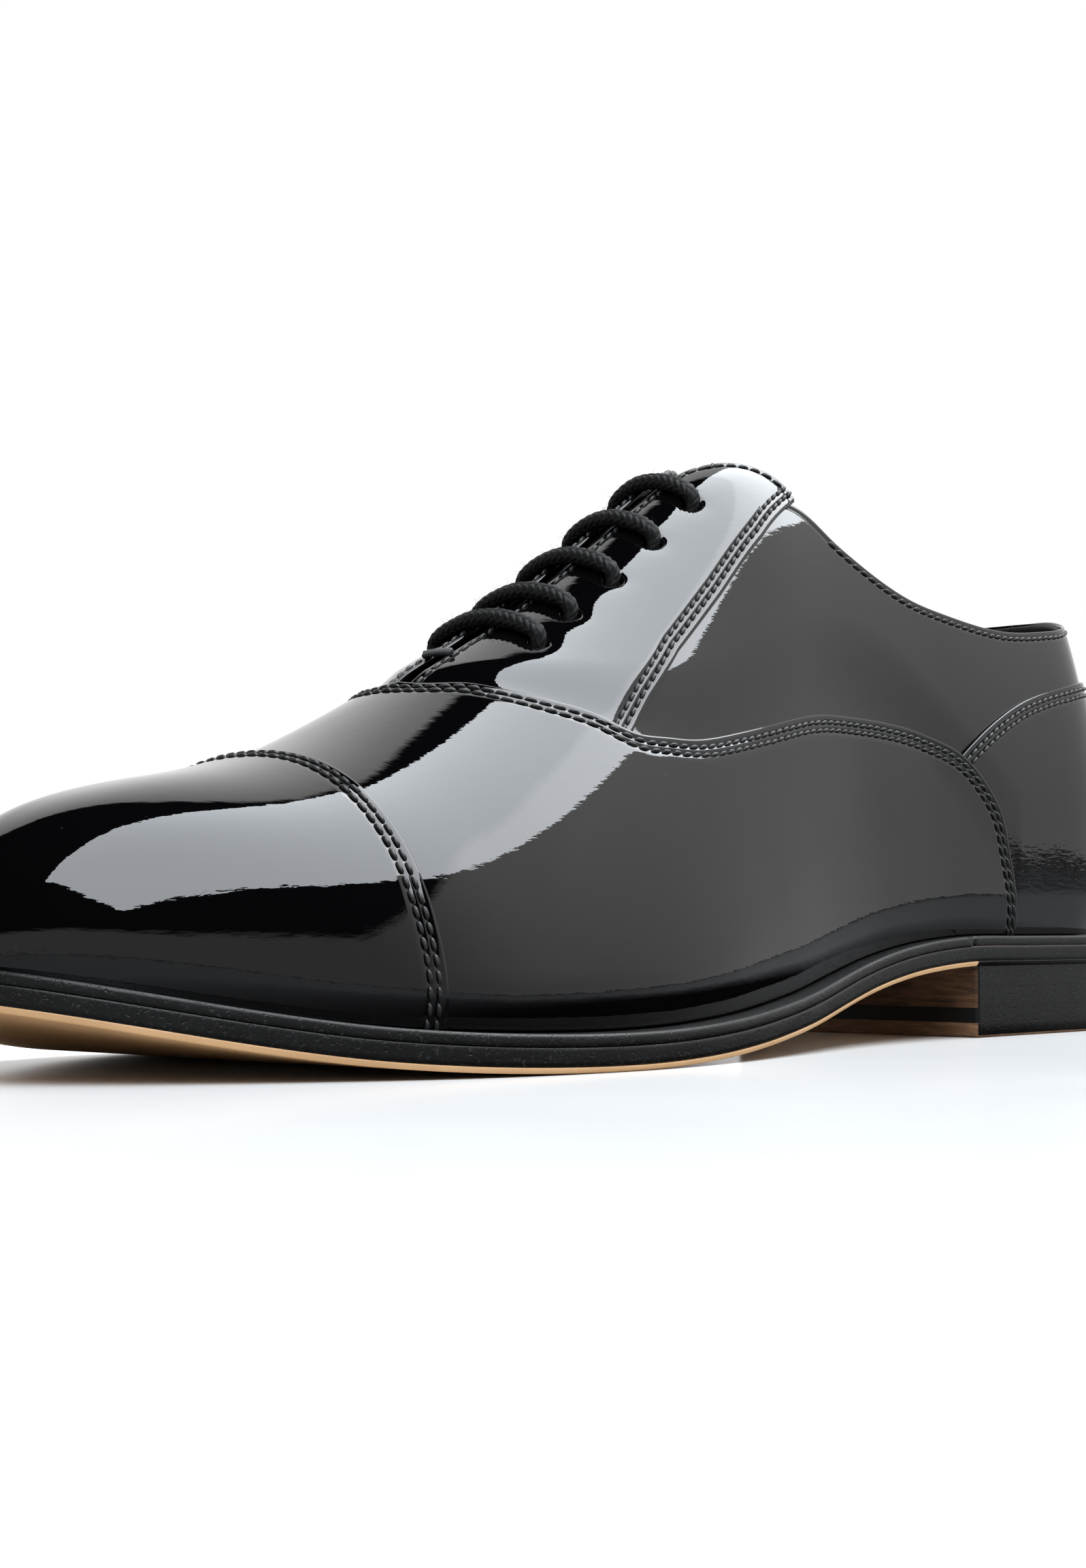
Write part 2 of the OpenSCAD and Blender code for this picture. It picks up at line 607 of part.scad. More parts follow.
module facing_stitching() {
    rear = [for (i = [1:6]) FACING_REAR[i]];
    front = [for (i = [1:6]) FACING_FRONT[i]];
    color(COLOR_THREAD)
        for (side = [1, -1]) {
            for (row = [1, 2])
                thread(on_side([for (p = rear) p + row * [0.8, 2]], side), 16, FACING_DEPTH);
            thread(on_side([for (p = front) p + [1.2, -3.6]], side), 16, FACING_DEPTH);
        }
}

module topline_stitching() {
    color(COLOR_THREAD)
        for (side = [1, -1])
            thread(on_side([for (i = [0:7]) TOPLINE[i] + [i == 0 ? 0.6 : 0, -2]], side), 24,
                QUARTER_DEPTH);
}

module heel_panel_stitching() {
    color(COLOR_THREAD)
        for (row = [1, 2])
            thread(round_heel([for (i = [1:6]) PANEL_TOP[i] + [i == 1 ? -7 : 0, (i == 1 ? 2 : 0) - 1.4 * row]]),
                30, FACING_DEPTH);
}

// bar of thread that ties the two facings together at the bottom of the throat
module throat_tack() {
    color(COLOR_THREAD)
        tube([for (a = [86:2:94]) upper_point([217.5, a, FACING_DEPTH - 0.9])], 0.7, 6, [0, 1, 0.2]);
}

toe_cap();
vamp();
facing(1);  // facing_outer
facing(-1);  // facing_inner
quarter(1);  // quarter_outer
quarter(-1);  // quarter_inner
heel_panel();
tongue();
vamp_lining();
quarter_lining(1);  // quarter_lining_outer
quarter_lining(-1);  // quarter_lining_inner
heel_grip();
toe_puff();
heel_stiffener();
insole();
sock_liner();
shank();
cork_filler();
welt();
heel_rand();
outsole();
heel_lift(1);  // heel_lift_upper
heel_lift(0);  // heel_lift_lower
heel_rubber();
top_piece();
heel_nails();
lace();
lace_tip(TAIL_OUTER[12], TAIL_OUTER[11]);  // lace_tip_outer
lace_tip(TAIL_INNER[11], TAIL_INNER[10]);  // lace_tip_inner
cap_stitching();
vamp_stitching();
facing_stitching();
topline_stitching();
heel_panel_stitching();
throat_tack();
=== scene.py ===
import math

import bpy
import numpy as np
from mathutils import Matrix, Vector
from mathutils.kdtree import KDTree


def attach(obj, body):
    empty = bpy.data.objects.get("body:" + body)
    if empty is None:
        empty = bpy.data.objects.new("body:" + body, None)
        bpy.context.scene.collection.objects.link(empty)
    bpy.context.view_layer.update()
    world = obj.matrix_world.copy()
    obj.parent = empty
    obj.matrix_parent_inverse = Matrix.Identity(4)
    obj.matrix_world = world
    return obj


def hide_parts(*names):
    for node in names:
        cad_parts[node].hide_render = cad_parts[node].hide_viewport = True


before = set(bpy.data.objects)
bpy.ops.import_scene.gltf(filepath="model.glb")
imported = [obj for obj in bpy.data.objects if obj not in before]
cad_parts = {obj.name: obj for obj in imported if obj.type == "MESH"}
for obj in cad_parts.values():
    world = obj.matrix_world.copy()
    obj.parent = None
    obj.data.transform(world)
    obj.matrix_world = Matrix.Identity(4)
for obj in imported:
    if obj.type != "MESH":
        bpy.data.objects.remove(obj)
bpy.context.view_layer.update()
MM = 0.001
SEED = 7

# ==== Foot shape, the same tables as the CAD source. Stations run from the back of the heel. ====
LENGTH = 300.0
HEEL_ROUND = 30.0
TOE_ROUND = 225.0
BREAST = 76.0
UPPER_BACK = 2.2
UPPER_FRONT = 295.2
HEEL_TURN = 47.0
TOE_TURN = 242.0
TIP = 360.0
OUTSOLE_T = 4.0
WELT_T = 2.0
HEEL_H = 14.4
TOE_SPRING = 11.4
RUBBER_T = 3.0
TOP_PIECE_T = 3.0
INSOLE_T = 2.4
LEATHER_T = 0.9
LINING_T = 0.8
BASE_GAP = 0.1
SEAM_STEP = 1.2
SEAM_SPREAD = 14      # degrees round the upper over which the step at the vamp's seam fades
CAP_SEAM = 258.0
LACE_D = 3.4
TABLE_STEP = 0.25
TUCK = 1.6            # how far the upper draws in just over the welt, and up to what height
TUCK_H = 9
LEAN_REACH = 55       # length over which the back's forward lean fades

CAP_DEPTH = -1.1
VAMP_DEPTH = 0.0
FACING_DEPTH = 1.0
PANEL_DEPTH = 1.1
QUARTER_DEPTH = 2.0
LINING_DEPTH = 3.0

OUTER_HALF = [(0, 31), (30, 31.6), (60, 31.6), (90, 31.5), (120, 34.2), (150, 41.8), (180, 49.3),
              (200, 51.8), (212, 51.9), (225, 50.6), (240, 48.4), (255, 45.6), (270, 43.2), (300, 40.8)]
INNER_HALF = [(0, 31), (30, 31.4), (60, 31), (90, 29.6), (120, 29.2), (150, 33.5), (180, 43),
              (200, 48.6), (212, 50.3), (225, 50.6), (240, 49), (255, 47), (270, 44.8), (300, 41.4)]
MIDDLE = [(0, -1.5), (60, -1.5), (120, 0), (160, 0), (200, -0.3), (230, -1.2), (260, -3.1),
          (285, -5.9), (300, -8)]
ARCH = [(0, 1), (60, 1), (78, 1), (86, 0.97), (100, 0.885), (115, 0.73), (130, 0.53), (145, 0.335),
        (160, 0.2), (180, 0.075), (200, 0.01), (212, 0), (224, 0), (300, 0)]
SPRING = [(0, 0), (195, 0), (210, 0), (225, 0.02), (240, 0.08), (255, 0.2), (270, 0.42),
          (285, 0.7), (300, 1)]
RIDGE = [(0, 92), (60, 96), (100, 98.5), (120, 99.5), (131, 99.5), (145, 93.5), (160, 85),
         (182, 72), (194, 65.8), (206, 59.6), (220, 52), (235, 44.6), (250, 38.8), (265, 35),
         (280, 31.5), (300, 28)]
SQUARE_ACROSS = [(0, 2.5), (100, 2.4), (150, 2.1), (200, 2), (225, 2.1), (250, 2.3), (300, 2.4)]
SQUARE_UP = [(0, 2.5), (100, 2.3), (150, 1.95), (200, 1.75), (225, 1.75), (250, 2), (300, 2.2)]
WELT_OUT = [(0, 1.2), (70, 1.4), (110, 2.2), (150, 3.4), (200, 4.4), (300, 4.6)]
BACK_LEAN = [(0, 0), (12, -2.2), (26, -3.2), (42, -1), (58, 3.2), (75, 7.5), (120, 12)]

# seams and edges as (along, round), from the back of the heel or the welt to the ridge
VAMP_SEAM = [(75, 0), (76.5, 3), (79, 7), (83, 12), (94, 17.5), (109, 21), (123, 23.5),
             (137, 26), (156, 30), (173, 34), (187, 38), (196, 42), (203, 46), (209, 53),
             (215, 60), (219.5, 67), (223, 75), (226, 82), (227, 90)]
VAMP_LOWER = [(82, 0), (88, 0), (94, 0), (100, 0), (118, 0), (136, 0), (154, 0), (172, 0),
              (190, 0), (208, 0), (226, 0), (244, 0), (258, 0), (272, 0), (272, 20), (272, 40),
              (272, 60), (272, 76), (272, 90)]
VAMP_START = [(74, 0), (123, 23.5), (187, 38), (209, 53), (219.5, 67), (226, 82), (300, 90)]
TOPLINE = [(0, 47), (16, 46.3), (32, 43.6), (48, 40.8), (72, 38.2), (96, 39.5), (112, 43.5),
           (126, 51.5), (136, 62)]
QUARTER_FRONT = [(147, 66), (160, 63), (176, 61), (192, 58), (205, 52)]
QUARTER_LOWER = [(0, 0), (16, 0), (32, 0), (48, 0), (72, 0), (96, 8), (112, 12), (126, 15),
                 (138, 18), (150, 20.5), (164, 23.5), (180, 27.5), (193, 32), (205, 39)]
FACING_FRONT = [(237, 88), (220, 87.8), (200, 87.6), (180, 87.5), (165, 87.4), (155, 86.8),
                (149.5, 83.5)]
FACING_REAR = [(214, 40), (203, 46), (195, 49), (184, 52), (168, 54), (151, 57), (136, 62)]
PANEL_TOP = [(106, 11), (96, 17.3), (72, 25.5), (48, 30.2), (32, 32), (16, 33.2), (0, 33.5)]
PANEL_LOWER = [(along, 0) for along, _ in PANEL_TOP]
LINING_SEAM = [(166, 0), (172, 12), (182, 24), (194, 36), (204, 48), (211, 60), (216, 72),
               (219, 82), (220, 90)]
GRIP_TOP = [(48, 39), (32, 42), (16, 44.8), (0, 45.5)]
GRIP_LOWER = [(along, 6) for along, _ in GRIP_TOP]
TONGUE_EDGE = [(228, 72), (218, 68), (208, 63), (198, 60), (186, 57), (172, 55), (159, 55),
               (149, 62), (144, 74)]


def hermite(rows, x):
    """Value at x on a smooth curve through (x, value) rows."""
    xs, v = np.array(rows, float).T
    step = np.diff(xs)
    rise = np.diff(v) / step
    slope = np.empty_like(v)
    slope[0] = rise[0]
    slope[-1] = rise[-1]
    slope[1:-1] = (rise[:-1] * step[1:] + rise[1:] * step[:-1]) / (step[1:] + step[:-1])
    x = np.clip(x, xs[0], xs[-1])
    i = np.clip(np.searchsorted(xs, x, side="right") - 1, 0, len(xs) - 2)
    h = step[i]
    q = (x - xs[i]) / h
    return ((2 * q ** 3 - 3 * q ** 2 + 1) * v[i] + (q ** 3 - 2 * q ** 2 + q) * h * slope[i]
            + (3 * q ** 2 - 2 * q ** 3) * v[i + 1] + (q ** 3 - q ** 2) * h * slope[i + 1])


def faired(values, step, spread):
    """values with their small kinks averaged out over a spread, keeping both ends."""
    reach = int(3 * spread / step)
    weights = np.exp(-0.5 * (np.arange(-reach, reach + 1) * step / spread) ** 2)
    weights /= weights.sum()
    low = 2 * values[0] - values[reach:0:-1]
    high = 2 * values[-1] - values[-2:-reach - 2:-1]
    return np.convolve(np.concatenate([low, values, high]), weights, mode="valid")


def table(rows, spread):
    """A faired table as a function that is quick to read at many places."""
    x = np.arange(rows[0][0], rows[-1][0] + TABLE_STEP, TABLE_STEP)
    v = faired(hermite(rows, x), TABLE_STEP, spread)
    return lambda at: np.interp(at, x, v)


outer_half = table(OUTER_HALF, 8)
inner_half = table(INNER_HALF, 8)
middle = table(MIDDLE, 8)
arch = table(ARCH, 4)
spring = table(SPRING, 4)
ridge = table(RIDGE, 7)
square_across = table(SQUARE_ACROSS, 10)
square_up = table(SQUARE_UP, 10)
welt_out = table(WELT_OUT, 6)
back_lean = table(BACK_LEAN, 4)
vamp_start = table(VAMP_START, 6)


def faired_turn(function, spread):
    """A function of the distance round the edge, read from a faired table."""
    x = np.arange(0, TIP + TABLE_STEP, TABLE_STEP)
    v = faired(function(x), TABLE_STEP, spread)
    return lambda along: np.interp(np.abs(along), x, v)


def heel_turn(along):
    return np.pi / 2 * np.minimum(np.abs(along) / HEEL_TURN, 1)


def toe_turn(along):
    return np.pi / 2 * np.maximum(np.abs(along) - TOE_TURN, 0) / (TIP - TOE_TURN)


def sharp_station(along):
    heel = HEEL_ROUND * (1 - np.cos(heel_turn(along)))
    toe = TOE_ROUND * (1 - np.sin(toe_turn(along)))
    straight = along - HEEL_TURN + HEEL_ROUND
    return np.where(along < HEEL_TURN, heel, np.where(along < TOE_TURN, straight, toe))


closing = faired_turn(lambda x: np.where(x < HEEL_TURN, np.sin(heel_turn(x)), np.cos(toe_turn(x))), 5)
plain_station = faired_turn(sharp_station, 3)
heel_share = faired_turn(lambda x: np.cos(heel_turn(x)), 3)
toe_share = faired_turn(lambda x: np.sin(toe_turn(x)), 3)


def smooth(x):
    q = np.clip(x, 0, 1)
    return q * q * (3 - 2 * q)


def station(along, back, front):
    return plain_station(along) + back * heel_share(along) + front * toe_share(along)


def sole_under(s):
    return HEEL_H * arch(s) + TOE_SPRING * spring(s)


def welt_top(s):
    return sole_under(s) + OUTSOLE_T + WELT_T


def half_width(s, side):
    return np.where(side > 0, outer_half(s), inner_half(s))


def edge_point(along, inset, z):
    """Point on the edge of the sole, inset from it, at height z over the outsole's underside."""
    along, inset, z = np.broadcast_arrays(*[np.asarray(v, float) for v in (along, inset, z)])
    s = station(along, inset, LENGTH - inset)
    side = np.where(along < 0, -1.0, 1.0)
    half = (half_width(s, side) - inset) * closing(along)
    return np.stack([middle(s) + side * half, LENGTH / 2 - s, sole_under(s) + z], -1)


def upper_point(along, turn, depth):
    """Point on the upper at a distance along its edge, an angle round it and a depth inside it."""
    along, turn, depth = np.broadcast_arrays(*[np.asarray(v, float) for v in (along, turn, depth)])
    local = np.where(turn > 90, 180 - turn, turn)
    side = np.where((along < 0) == (turn > 90), 1.0, -1.0)
    s = station(along, UPPER_BACK + depth, UPPER_FRONT - depth)
    inward = depth - SEAM_STEP * smooth((local - vamp_start(np.abs(along))) / SEAM_SPREAD)
    half = half_width(s, side) - welt_out(s) - inward
    toe = np.sin(toe_turn(along))
    rise = (ridge(s) - inward) * np.sqrt(np.maximum(1 - toe ** 5, 0))
    angle = np.radians(local)
    across = np.abs(np.cos(angle)) ** (2 / square_across(s))
    up = rise * np.abs(np.sin(angle)) ** (2 / square_up(s))
    tuck = TUCK * np.maximum(1 - up / TUCK_H, 0) ** 2 * across
    lean = back_lean(up) * np.maximum(1 - (s - UPPER_BACK) / LEAN_REACH, 0) ** 1.5
    return np.stack([middle(s) + side * closing(along) * (across * half - tuck),
                     LENGTH / 2 - s - lean, welt_top(s) + BASE_GAP + up], -1)


def through(curve, u, is_smooth=True):
    """Points at shares u of the way through a curve's control points."""
    c = np.array(curve, float)
    n = len(c) - 1
    i = np.minimum((u * n + 1e-9).astype(int), n - 1)
    q = (u * n - i)[:, None]
    before, here, after, beyond = c[np.maximum(i - 1, 0)], c[i], c[i + 1], c[np.minimum(i + 2, n)]
    if not is_smooth:
        return here + (after - here) * q
    return here + q * ((after - before) / 2 + q * ((before - 2.5 * here + 2 * after - beyond / 2)
                                                   + q * (1.5 * (here - after) + (beyond - before) / 2)))


def on_side(curve, side):
    return [(side * along, turn) for along, turn in curve]


def over_ridge(curve):
    return list(curve) + [(along, 180 - turn) for along, turn in curve[-2::-1]]


def round_heel(curve):
    return list(curve) + [(-along, turn) for along, turn in curve[-2::-1]]


def fan(count, along):
    return [(along, 180 * i / count) for i in range(count + 1)]


# ==== Mesh helpers ====
def new_piece(name, verts, faces, materials, body="shoe", face_material=None, is_extra=False):
    """A mesh piece, given in millimetres, that rides on a body and stands for the node of its name."""
    mesh = bpy.data.meshes.new(name)
    mesh.from_pydata((np.asarray(verts, float) * MM).tolist(), [], [tuple(map(int, f)) for f in faces])
    for material in materials:
        mesh.materials.append(material)
    mesh.polygons.foreach_set("use_smooth", [True] * len(mesh.polygons))
    if face_material is not None:
        mesh.polygons.foreach_set("material_index", np.asarray(face_material, np.int32))
    mesh.update()
    piece = bpy.data.objects.new(name, mesh)
    bpy.context.scene.collection.objects.link(piece)
    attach(piece, body)
    if not is_extra:
        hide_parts(name)
    return piece


def grid_quads(rows, cols, start=0, flip=False):
    """Quads of a lattice of rows by cols points, numbered from start."""
    i, j = np.meshgrid(np.arange(rows - 1), np.arange(cols - 1), indexing="ij")
    a = (start + i * cols + j).ravel()
    quads = np.stack([a, a + cols, a + cols + 1, a + 1], -1)
    return quads[:, ::-1] if flip else quads


def closed_sheet(outer, inner):
    """Vertices and outward quads of a solid between two lattices of the same size."""
    rows, cols = outer.shape[:2]
    count = rows * cols
    verts = np.concatenate([outer.reshape(-1, 3), inner.reshape(-1, 3)])
    index = np.arange(count).reshape(rows, cols)
    border = np.concatenate([index[:, 0], index[-1, 1:], index[-2::-1, -1], index[0, -2:0:-1]])
    following = np.roll(border, -1)
    walls = np.stack([following, border, border + count, following + count], -1)
    quads = np.concatenate([grid_quads(rows, cols), grid_quads(rows, cols, count, True), walls])
    if signed_volume(verts, quads) < 0:
        quads = quads[:, ::-1]
    return verts, quads


def signed_volume(verts, quads):
    a, b, c, d = (verts[quads[:, k]] for k in range(4))
    return float((np.cross(b - a, c - a) * a).sum() + (np.cross(c - a, d - a) * a).sum())


def ring_faces(rows, cols):
    """Faces of a closed skin over rows rings of cols points, its ends included."""
    i, j = np.divmod(np.arange((rows - 1) * cols), cols)
    a, b = i * cols + j, i * cols + (j + 1) % cols
    first = list(range(cols))
    last = list(range((rows - 1) * cols, rows * cols))
    return np.stack([a, b, b + cols, a + cols], -1).tolist() + [first[::-1], last]


def ring_skin(rings):
    """Vertices and outward faces of a solid skin over closed rings of points."""
    rings = np.asarray(rings, float)
    verts = rings.reshape(-1, 3)
    faces = ring_faces(*rings.shape[:2])
    if signed_volume(verts, np.array(faces[:-2])) < 0:
        faces = [face[::-1] for face in faces]
    return verts, faces


def repeated(faces, size, count):
    """The same faces for count pieces of size vertices each."""
    return [[v + n * size for v in face] for n in range(count) for face in faces]


def unit(vectors):
    return vectors / np.linalg.norm(vectors, axis=-1, keepdims=True)


def across_from(vectors, direction):
    """Unit vectors square to direction, as near as can be to vectors."""
    return unit(vectors - direction * (vectors * direction).sum(-1, keepdims=True))


def tangents(path):
    return unit(np.gradient(path, axis=0))


def tube(path, radius, seed):
    """Skin round a path. radius has a row for each of its points and a value for each side."""
    normal = np.empty_like(path)
    carried = np.array(seed, float)
    tangent = tangents(path)
    for i, t in enumerate(tangent):
        carried = across_from(carried, t)
        normal[i] = carried
    across = np.cross(tangent, normal)
    angle = turn_of(radius.shape[1])[:, None]
    out = np.cos(angle) * normal[:, None] + np.sin(angle) * across[:, None]
    return ring_skin(path[:, None] + radius[..., None] * out)


def turn_of(sides):
    """The angles of the sides of a round section."""
    return np.linspace(0, 2 * np.pi, sides, endpoint=False)


def along_path(path):
    """Distance along a path at each of its points."""
    return np.concatenate([[0], np.cumsum(np.linalg.norm(np.diff(path, axis=0), axis=1))])


def read_along(line, place, at):
    """Points of a line at given distances; place is the distance of each of its own points."""
    return np.stack([np.interp(at, place, line[:, k]) for k in range(line.shape[1])], -1)


def evenly(path, step):
    """The path again, with points a step apart."""
    place = along_path(path)
    count = max(int(round(place[-1] / step)), 2)
    return read_along(path, place, np.linspace(0, place[-1], count + 1))


def rounded_path(points, step, spread):
    """A path along points, sampled a step apart, with its corners eased over a spread."""
    straight = evenly(np.array(points, float), step)
    eased = np.stack([faired(straight[:, k], step, spread) for k in range(3)], -1)
    return evenly(eased, step)


# ==== Camera ====
PICTURE_W = 1596
FOCAL_PX = 3653
SENSOR = 36.0
CAMERA_TURN = 42.0
CAMERA_TILT = -3.22
CAMERA_AWAY = 450.0
CAMERA_AIM = (-1.5, -21.9, 48.1)


def way(turn, tilt):
    """The direction from the shoe at turn degrees from the toe's direction and tilt degrees up."""
    turn, tilt = math.radians(turn), math.radians(tilt)
    return Vector((math.sin(turn) * math.cos(tilt), -math.cos(turn) * math.cos(tilt), math.sin(tilt)))


def place_camera():
    back = way(CAMERA_TURN, CAMERA_TILT)
    data = bpy.data.cameras.new("camera")
    data.sensor_fit = "HORIZONTAL"
    data.sensor_width = SENSOR
    data.lens = FOCAL_PX * SENSOR / PICTURE_W
    data.clip_start = 0.01
    data.clip_end = 20
    camera = bpy.data.objects.new("camera", data)
    bpy.context.scene.collection.objects.link(camera)
    camera.location = (Vector(CAMERA_AIM) + back * CAMERA_AWAY) * MM
    camera.rotation_euler = back.to_track_quat("Z", "Y").to_euler()
    bpy.context.scene.camera = camera


place_camera()


# ==== Material nodes ====
def rgba(color):
    """A colour with its alpha. One number stands for a grey."""
    return (*color, 1) if isinstance(color, tuple) else (color, color, color, 1)


def settle(node, **sockets):
    """Sets sockets of a node to uniform values."""
    for key, value in sockets.items():
        node.inputs[key.replace("_", " ")].default_value = value


class Shade:
    """Short names for the nodes of one material."""

    def __init__(self, name, color, roughness, **sockets):
        self.material = bpy.data.materials.new(name)
        self.material.use_nodes = True
        self.tree = self.material.node_tree
        self.surface = self.tree.nodes["Principled BSDF"]
        settle(self.surface, Base_Color=rgba(color), Roughness=roughness, **sockets)
        self.place = self.node("ShaderNodeTexCoord").outputs["Object"]

    def node(self, kind, **settings):
        made = self.tree.nodes.new(kind)
        for key, value in settings.items():
            setattr(made, key, value)
        return made

    def link(self, source, node, socket):
        self.tree.links.new(source, node.inputs[socket])

    def stretched(self, scale):
        mapping = self.node("ShaderNodeMapping")
        self.link(self.place, mapping, "Vector")
        settle(mapping, Scale=scale)
        return mapping.outputs["Vector"]

    def noise(self, scale, detail=3.0, roughness=0.55, distortion=0.0, place=None):
        made = self.node("ShaderNodeTexNoise")
        self.link(place or self.place, made, "Vector")
        settle(made, Scale=scale, Detail=detail, Roughness=roughness, Distortion=distortion)
        return made.outputs["Fac"]

    def cells(self, scale, output="Distance", place=None):
        made = self.node("ShaderNodeTexVoronoi")
        self.link(place or self.place, made, "Vector")
        settle(made, Scale=scale)
        return made.outputs[output]

    def ramp(self, source, stops):
        made = self.node("ShaderNodeValToRGB")
        self.link(source, made, "Fac")
        ramp = made.color_ramp
        while len(ramp.elements) < len(stops):
            ramp.elements.new(0.5)
        for element, (at, color) in zip(ramp.elements, stops):
            element.position = at
            element.color = rgba(color)
        return made.outputs["Color"]

    def spread(self, source, low, high, start=0.0, end=1.0):
        made = self.node("ShaderNodeMapRange")
        self.link(source, made, "Value")
        settle(made, From_Min=start, From_Max=end, To_Min=low, To_Max=high)
        return made.outputs["Result"]

    def math(self, operation, first, second):
        made = self.node("ShaderNodeMath", operation=operation)
        for socket, value in enumerate((first, second)):
            if isinstance(value, (int, float)):
                made.inputs[socket].default_value = value
            else:
                self.link(value, made, socket)
        return made.outputs[0]

    def bump(self, height, distance, strength=1.0, before=None):
        made = self.node("ShaderNodeBump")
        self.link(height, made, "Height")
        settle(made, Distance=distance, Strength=strength)
        if before is not None:
            self.link(before, made, "Normal")
        return made.outputs["Normal"]

    def feed(self, **sockets):
        for key, source in sockets.items():
            self.link(source, self.surface, key.replace("_", " "))
        return self.material


def grained(name, color, roughness, bumps, tone=None, sheen=None, **sockets):
    """A material whose bumps, tone and sheen each follow a pattern of their own.

    bumps are rows of a pattern's kind, its settings, a distance in metres and a strength. tone
    is a noise's settings and the stops of a ramp. sheen is a noise's settings and the roughness
    at both its ends.
    """
    s = Shade(name, color, roughness, **sockets)
    normal = None
    for kind, settings, distance, strength in bumps:
        pattern = s.noise if kind == "noise" else s.cells
        normal = s.bump(pattern(*settings), distance, strength, normal)
    s.feed(Normal=normal)
    if tone is not None:
        s.feed(Base_Color=s.ramp(s.noise(*tone[0]), tone[1]))
    if sheen is not None:
        s.feed(Roughness=s.spread(s.noise(*sheen[0]), *sheen[1:]))
    return s.material


def patent_leather():
    """Black leather under a thick glossy film that is slightly wavy."""
    black = (0.0012, 0.0012, 0.0014)
    s = Shade("patent_leather", black, 0.3, Coat_Weight=1.0, Coat_Roughness=0.02, Coat_IOR=1.55,
              Specular_IOR_Level=0.0)
    waves = s.bump(s.noise(70, 2.0), 0.00005)
    streaks = s.noise(900, 2.0, 0.5, place=s.stretched((0.35, 0.35, 1.4)))
    peel = s.bump(streaks, 0.000011, before=waves)
    film = s.bump(s.noise(2400, 1.0), 0.0000012, before=peel)
    dust = s.ramp(s.noise(700, 1.0), [(0.0, black), (0.8, black), (0.86, 0.02)])
    return s.feed(Normal=film, Coat_Normal=film, Base_Color=dust,
                  Roughness=s.spread(s.noise(55), 0.22, 0.42))


def edge_ink():
    """Inked and waxed leather edge: satin black with open pores and pale specks."""
    s = Shade("edge_ink", 0.003, 0.42, Specular_IOR_Level=0.32)
    fibre = s.bump(s.noise(600, 4.0, 0.6, place=s.stretched((1, 1, 3))), 0.00003)
    pores = s.bump(s.spread(s.noise(1500, 2.0), 0, 1, 0.28, 0.42), 0.00006, before=fibre)
    tone = s.ramp(s.noise(1300, 2.0), [(0.0, 0.002), (0.62, 0.0035), (0.72, 0.016)])
    return s.feed(Normal=pores, Base_Color=tone, Roughness=s.spread(s.noise(300, 3.0), 0.3, 0.5))


def heel_leather(name, low, high):
    """Stacked brown leather seen on its cut face: horizontal layers, fibres and cracks."""
    s = Shade(name, high, 0.6, Specular_IOR_Level=0.3)
    layers = s.stretched((1, 1, 9))
    fibre = s.noise(160, 6.0, 0.65, 0.4, place=layers)
    rough = s.bump(s.noise(420, 5.0, 0.7, place=layers), 0.00035)
    pores = s.bump(s.cells(450, place=layers), 0.0002, 0.6, before=rough)
    return s.feed(Normal=pores, Base_Color=s.ramp(fibre, [(0.3, low), (0.7, high)]),
                  Roughness=s.spread(fibre, 0.5, 0.75))


def cork_material():
    s = Shade("cork", (0.4, 0.26, 0.15), 0.8)
    tone = s.ramp(s.cells(350, "Color"), [(0.2, (0.2, 0.12, 0.06)), (0.8, (0.55, 0.38, 0.22))])
    return s.feed(Base_Color=tone, Normal=s.bump(s.cells(350), 0.0004))


def metal_material(name, color, roughness):
    s = Shade(name, color, roughness, Metallic=1.0)
    streaks = s.noise(300, 3.0, place=s.stretched((1, 12, 1)))
    return s.feed(Roughness=s.spread(streaks, roughness * 0.7, roughness * 1.3),
                  Normal=s.bump(streaks, 0.00003))


PATENT = patent_leather()
INK = edge_ink()
BROWN = heel_leather("heel_leather_brown", (0.03, 0.014, 0.007), (0.14, 0.068, 0.032))
PALE_BROWN = heel_leather("top_piece_leather", (0.1, 0.05, 0.024), (0.24, 0.13, 0.065))
CORK = cork_material()
STEEL = metal_material("shank_steel", (0.5, 0.51, 0.53), 0.35)
BRASS = metal_material("nail_brass", (0.7, 0.52, 0.24), 0.3)
# matte lining leather with a fine pore grain
LINING = grained("lining_leather", 0.006, 0.5,
                 bumps=[("cells", (900,), 0.00008, 0.6), ("noise", (300, 4.0), 0.00012, 1.0)],
                 tone=((40, 3.0), [(0.3, 0.003), (0.75, (0.009, 0.008, 0.008))]),
                 sheen=((120,), 0.4, 0.65), Specular_IOR_Level=0.25)
# sock leather, a little worn and shiny
SOCK = grained("sock_leather", 0.008, 0.45, bumps=[("cells", (700,), 0.0001, 0.7)],
               tone=((25, 4.0), [(0.3, 0.004), (0.8, (0.012, 0.011, 0.01))]),
               sheen=((60,), 0.35, 0.6), Specular_IOR_Level=0.3)
# vegetable tanned sole leather, polished, with fibre streaks and stains
TAN = grained("tan_sole", (0.55, 0.33, 0.16), 0.35, bumps=[("noise", (600, 4.0), 0.00006, 1.0)],
              tone=((35, 5.0, 0.6), [(0.25, (0.45, 0.26, 0.12)), (0.55, (0.55, 0.33, 0.16)),
                                     (0.8, (0.63, 0.4, 0.21))]),
              sheen=((90, 3.0), 0.28, 0.5), Specular_IOR_Level=0.45, Coat_Weight=0.15, Coat_Roughness=0.25)
RUBBER = grained("heel_rubber_black", 0.004, 0.55, bumps=[("noise", (500, 3.0), 0.00005, 1.0)],
                 sheen=((150,), 0.45, 0.65), Specular_IOR_Level=0.3)
